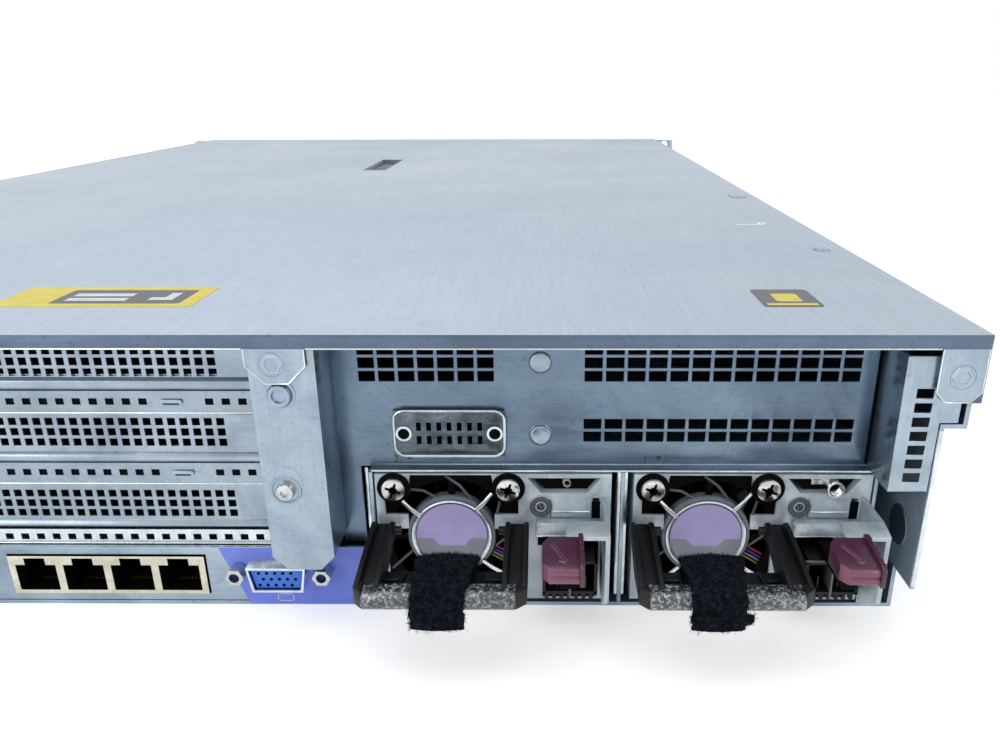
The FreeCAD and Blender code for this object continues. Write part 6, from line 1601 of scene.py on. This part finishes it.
    def mould_latch(self) -> None:
        """Moulds the release latch: falling top with a raised arrow, banded lip, cut corners, ribbed rim."""
        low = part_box(self.node("latch"))[0]
        f = self.face / MM
        side = [(f + 22, 31.0), (f + 22, 36.2), (f + 22.8, 36.7), (f + 34.2, 35.5), (f + 35.3, 35.0),
                (f + 35.8, 34.2),
                (f + 35.8, 33.4), (f + 35.4, 33.1), (f + 35.4, 32.8), (f + 35.9, 32.5), (f + 35.9, 31.4),
                (f + 35.4, 31.0)]
        block = prism([(a * MM, b * MM) for a, b in side], self.inner - 56.0 * MM, self.inner - 46.8 * MM,
                      Plane.SIDE)
        for point, way in ((self.at(49.2, 0, 36.3), (1, 0.78)), (self.at(46.8, 0, 25.2), (1, -0.72))):
            cut = Vector((way[0], way[1], 0)).normalized()
            bmesh.ops.bisect_plane(block, geom=block.verts[:] + block.edges[:] + block.faces[:],
                                   plane_co=point,
                                   plane_no=cut, clear_outer=True)
            bmesh.ops.holes_fill(block, edges=[e for e in block.edges if e.is_boundary])
        bmesh.ops.recalc_face_normals(block, faces=block.faces)
        round_edges(block, 0.22 * MM, 2, 20)
        block.normal_update()
        # Faces that look rearwards go into a paler copy of the maroon, as a painted highlight.
        lip = block.copy()
        bmesh.ops.delete(block, geom=[q for q in block.faces if q.normal.y > 0.45], context="FACES")
        bmesh.ops.delete(lip, geom=[q for q in lip.faces if q.normal.y <= 0.45], context="FACES")
        rim_side = [(f + 22, 30.9), (f + 22, 37.4), (f + 23, 37.7), (f + 35.0, 36.2), (f + 36.3, 35.2),
                    (f + 36.3, 30.5), (f + 34.6, 30.5)]
        rim = prism([(a * MM, b * MM) for a, b in rim_side], self.inner - 57.2 * MM, self.inner - 56.0 * MM,
                    Plane.SIDE, 0.2 * MM)
        parts = [(block, "maroon_plastic"), (lip, "maroon_painted_highlight"), (rim, "maroon_plastic")]
        for step in range(6):
            out, up = 24.0 + step * 2.1, 37.5 - step * 0.26
            parts.append((slab((self.inner - 57.25 * MM, self.inner - 56.5 * MM),
                               ((f + out) * MM, (f + out + 0.9) * MM),
                               (up - 0.2) * MM, (up + 0.22) * MM, Plane.FLAT, 0.0, 0.08 * MM),
                          "maroon_plastic"))

        def slope(out: float) -> float:
            """Height of the falling top at a distance from the face."""
            return 36.7 - (out - 22.8) * 1.2 / 11.4 + 0.04

        # The arrow's ridges take the paler maroon as a painted highlight.
        for start, end, wide in (((49.0, 26.2), (52.6, 33.4), 0.26), ((49.6, 25.6), (53.2, 33.0), 0.16),
                                 ((52.6, 33.4), (53.2, 31.6), 0.22), ((52.6, 33.4), (51.0, 32.6), 0.22)):
            points = [self.at(start[0], slope(start[1]), start[1]), self.at(end[0], slope(end[1]), end[1])]
            parts.append((rod_along(points, wide * MM, 8), "maroon_painted_highlight"))
        for tall, out in (((22.4, 24.9), (low.y, self.face + 23.4 * MM)), ((22.4, 32.0),
                                                                       (self.face + 22.4 * MM,
                                                                        self.face + 25 * MM))):
            parts.append((slab((self.inner - 55.5 * MM, self.inner - 51.5 * MM), (tall[0] * MM, tall[1] * MM),
                               out[0],
                               out[1], Plane.FACE, 0.0, 0.2 * MM), "deep_black"))
        self.bench.piece(f"supply_{self.number}_release_latch", parts, f"{self.body}_latch", "maroon_plastic",
                         self.node("latch"))

    def mould_handle(self) -> None:
        """Moulds the carrying handle: channelled arms, a ribbed tray and a grained front bar."""
        f = self.face / MM

        def plan(points: list[tuple[float, float]]) -> list[tuple[float, float]]:
            """Local along and out millimetres as X and Y."""
            return [(self.inner - a * MM, (f + b) * MM) for a, b in points]

        def wall(near: float, far: float, lower: float = 0.0) -> bmesh.types.BMesh:
            """One side wall of an arm, from its peaked tip to the bar."""
            shape = [(1.8, 25.0), (1.8, 28.6), (3.2, 29.9 - lower), (6.0, 29.8 - lower), (29.8, 26.3 - lower),
                     (29.8, 21.2), (17.6, 21.2), (8.0, 25.0)]
            return prism([((f + a) * MM, b * MM) for a, b in shape], self.inner - far * MM,
                         self.inner - near * MM,
                         Plane.SIDE, 0.35 * MM)

        roll_side = [(27.4, 20.6), (30.6, 20.6)] + [
            (30.5 + 2.5 * math.cos(math.radians(a)), 23.1 + 2.6 * math.sin(math.radians(a)))
            for a in range(-80, 81, 16)]
        roll_side += [(30.6, 25.75), (27.4, 25.75)]
        roll = prism([((f + a) * MM, b * MM) for a, b in roll_side], self.inner - 40.2 * MM,
                     self.inner - 1.4 * MM,
                     Plane.SIDE, 0.15 * MM)
        floor = prism(plan([(-0.8, 18.2), (42.8, 18.2), (42.8, 29.0), (-0.8, 29.0)]), 21.2 * MM, 23.4 * MM,
                      Plane.FLAT, 0.3 * MM)
        parts = [(roll, "grained_black"), (floor, "black_plastic")]
        for corner in ([(-1.0, 27.4), (-1.0, 29.8), (1.5, 32.4), (1.5, 27.4)],
                       [(40.1, 27.4), (40.1, 32.4), (43.0, 29.8), (43.0, 27.4)]):
            parts.append((prism(plan(corner), 21.0 * MM, 26.3 * MM, Plane.FLAT, 0.5 * MM, 3),
                          "black_plastic"))
        for near, far, lower in ((-1.0, 0.4, 0.0), (4.1, 5.5, 0.0), (0.2, 4.3, 1.9),
                                 (36.5, 37.9, 0.0), (41.6, 43.0, 0.0), (37.7, 41.8, 1.9)):
            parts.append((wall(near, far, lower), "black_plastic"))
        for start, end in (((5.4, 19.0), (0.6, 27.4)), ((36.6, 19.0), (41.4, 27.4)),
                           ((10.6, 19.2), (10.0, 28.0)),
                           ((31.4, 19.2), (32.0, 28.0)), ((36.4, 23.0), (32.2, 24.0)),
                           ((5.6, 23.0), (9.8, 24.0))):
            points = [self.at(start[0], 23.7, start[1]), self.at(end[0], 24.4, end[1])]
            parts.append((rod_along(points, 0.45 * MM, 8), "black_plastic"))
        for along, out in ((5.8, 4.8), (36.2, 4.8)):
            pin = lathe([(0.0, -1.6 * MM), (1.2 * MM, -1.6 * MM), (1.2 * MM, 1.6 * MM), (0.0, 1.6 * MM)],
                        tuple(self.at(along, 28.0, out)), 24, Plane.SIDE)
            parts.append((pin, "black_plastic"))
        self.bench.piece(f"supply_{self.number}_carry_handle", parts, f"{self.body}_handle", "black_plastic",
                         self.node("handle"))

    def strap_layer(self, path: list[tuple[float, float, float]], middle: float, lean: float,
                    thick: float = 1.5, columns: int = 18) -> bmesh.types.BMesh:
        """Sweeps one layer of the strap along a path.

        Args:
            path: Out, up and half-width millimetres along the layer's middle.
            middle: Middle of the layer from the inner edge, in millimetres.
            lean: Sideways drift towards the supply's face, in millimetres.
            thick: Thickness in millimetres.
            columns: Facets across it.

        Returns:
            The layer's mesh.
        """
        spots: list[tuple[float, float, float]] = []
        for first, second in zip(path, path[1:]):
            spots += [tuple(a + (b - a) * step / 4 for a, b in zip(first, second)) for step in range(4)]
        spots.append(path[-1])
        band = bmesh.new()
        rows = []
        for i, (out, up, half) in enumerate(spots):
            before, after = spots[max(i - 1, 0)], spots[min(i + 1, len(spots) - 1)]
            ahead = Vector((0, after[0] - before[0], after[1] - before[1])).normalized()
            outward = Vector((0, -ahead.z, ahead.y))
            half *= 1 + 0.03 * math.sin(i * 0.9 + self.number) + random.uniform(-0.02, 0.02)
            drift = lean * (35 - out) / 18
            ring = []
            for side in (1, -1):
                for k in range(columns + 1):
                    t = k / columns if side == 1 else 1 - k / columns
                    bulge = math.sin(math.pi * min(max(t, 0.0), 1.0)) ** 0.35
                    wave = 0.35 * math.sin(t * 9 + i * 0.6) + random.uniform(-0.14, 0.14)
                    spot = self.at(middle + drift + (t - 0.5) * 2 * half + random.uniform(-0.18, 0.18), up,
                                   out)
                    ring.append(band.verts.new(spot + outward * side * (thick * 0.5 * bulge + wave * 0.28)
                                               * MM))
            rows.append(ring)
        count = len(rows[0])
        for first, second in zip(rows, rows[1:]):
            for k in range(count):
                band.faces.new((first[k], first[(k + 1) % count], second[(k + 1) % count], second[k]))
        band.faces.new(rows[0])
        band.faces.new(rows[-1])
        bmesh.ops.recalc_face_normals(band, faces=band.faces)
        return band

    def grow_pile(self, band: bmesh.types.BMesh, tufts: bmesh.types.BMesh, number: int) -> None:
        """Grows short bent tufts all over a layer.

        Args:
            band: The layer.
            tufts: The mesh that gets the tufts.
            number: How many tufts to grow.
        """
        faces = [(q.calc_center_median(), q.normal.copy(), q.calc_area()) for q in band.faces
                 if len(q.verts) == 4]
        total = sum(area for _, _, area in faces)
        for centre, normal, area in faces:
            for _ in range(max(1, round(number * area / total))):
                aside = Vector([random.gauss(0, 1) for _ in range(3)])
                root = centre + (aside - normal * aside.dot(normal)) * 0.42 * MM
                grow = (normal + Vector([random.gauss(0, 0.75) for _ in range(3)])).normalized()
                tall = random.uniform(0.4, 1.05) * MM
                flat = grow.cross(Vector([random.gauss(0, 1) for _ in range(3)])).normalized() * 0.07 * MM
                bend = Vector([random.gauss(0, 0.4) for _ in range(3)]) * tall
                a, b = tufts.verts.new(root - flat), tufts.verts.new(root + flat)
                c, d = (tufts.verts.new(root + grow * tall * 0.6 + flat),
                        tufts.verts.new(root + grow * tall * 0.6 - flat))
                tip = tufts.verts.new(root + grow * tall * 0.9 + bend)
                tufts.faces.new((a, b, c, d))
                tufts.faces.new((d, c, tip))

    def wrap_strap(self) -> None:
        """Wraps the fuzzy strap round the handle's bar, with its free end hanging."""
        random.seed(self.strap_seed + self.number)
        path = [(20.5, 19.4, 6.7), (17.2, 19.8, 6.9), (16.7, 23.0, 7.4), (16.8, 25.6, 8.0), (17.8, 27.6, 8.3),
                (20.6, 28.1, 8.0), (25.0, 28.0, 7.4), (29.6, 27.6, 7.0), (33.0, 26.8, 6.8), (34.6, 24.8, 6.8),
                (34.8, 21.8, 6.9), (34.8, 19.4, 6.9), (34.6, 17.2, 6.7)]
        middle, lean = (18.3, 0.6) if self.number == 1 else (20.6, 1.5)
        band = self.strap_layer(path, middle, lean)
        tufts = bmesh.new()
        self.grow_pile(band, tufts, 9000)
        layers = [(band, "strap_fabric")]
        flat_length = sum(math.dist(a[:2], b[:2]) for a, b in zip(path, path[1:]))
        if self.number == 1:
            tail = [(33.2, 20.6, 4.4), (33.3, 19.6, 4.5), (33.2, 18.8, 4.4), (33.0, 18.0, 4.3)]
            under = self.strap_layer(tail, middle + 4.6, 0.0, 1.2, 12)
            self.grow_pile(under, tufts, 1400)
            layers.append((under, "strap_fabric"))
            flat_length += 2.6 * 8.8 * MM / self.strap_width
        strap = self.bench.piece(f"supply_{self.number}_strap", layers, f"{self.body}_handle", "strap_fabric",
                                 self.node("strap"), crease=80)
        pile = self.bench.piece(f"supply_{self.number}_strap_pile", [(tufts, "strap_fabric")],
                                f"{self.body}_handle", "strap_fabric")


def main() -> None:
    """Builds the server's sub-assemblies in order, and reports each."""
    logging.basicConfig(level=logging.INFO, format="%(name)s: %(message)s")
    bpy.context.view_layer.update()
    bench = Bench()
    studio = Studio()
    studio.place_camera(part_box("access_panel")[1].y)
    studio.light()
    studio.lay_floor()
    for assembly in (Enclosure(bench), RearWall(bench), PortRow(bench), PowerSupply(bench, 1),
                     PowerSupply(bench, 2)):
        assembly.build()
        LOG.info("built %s", type(assembly).__name__)
    for node in frame["nodes"]:
        if node not in bench.done:
            bench.dress(node)
    bpy.context.scene.view_settings.view_transform = "Standard"


if __name__ == "__main__":
    main()
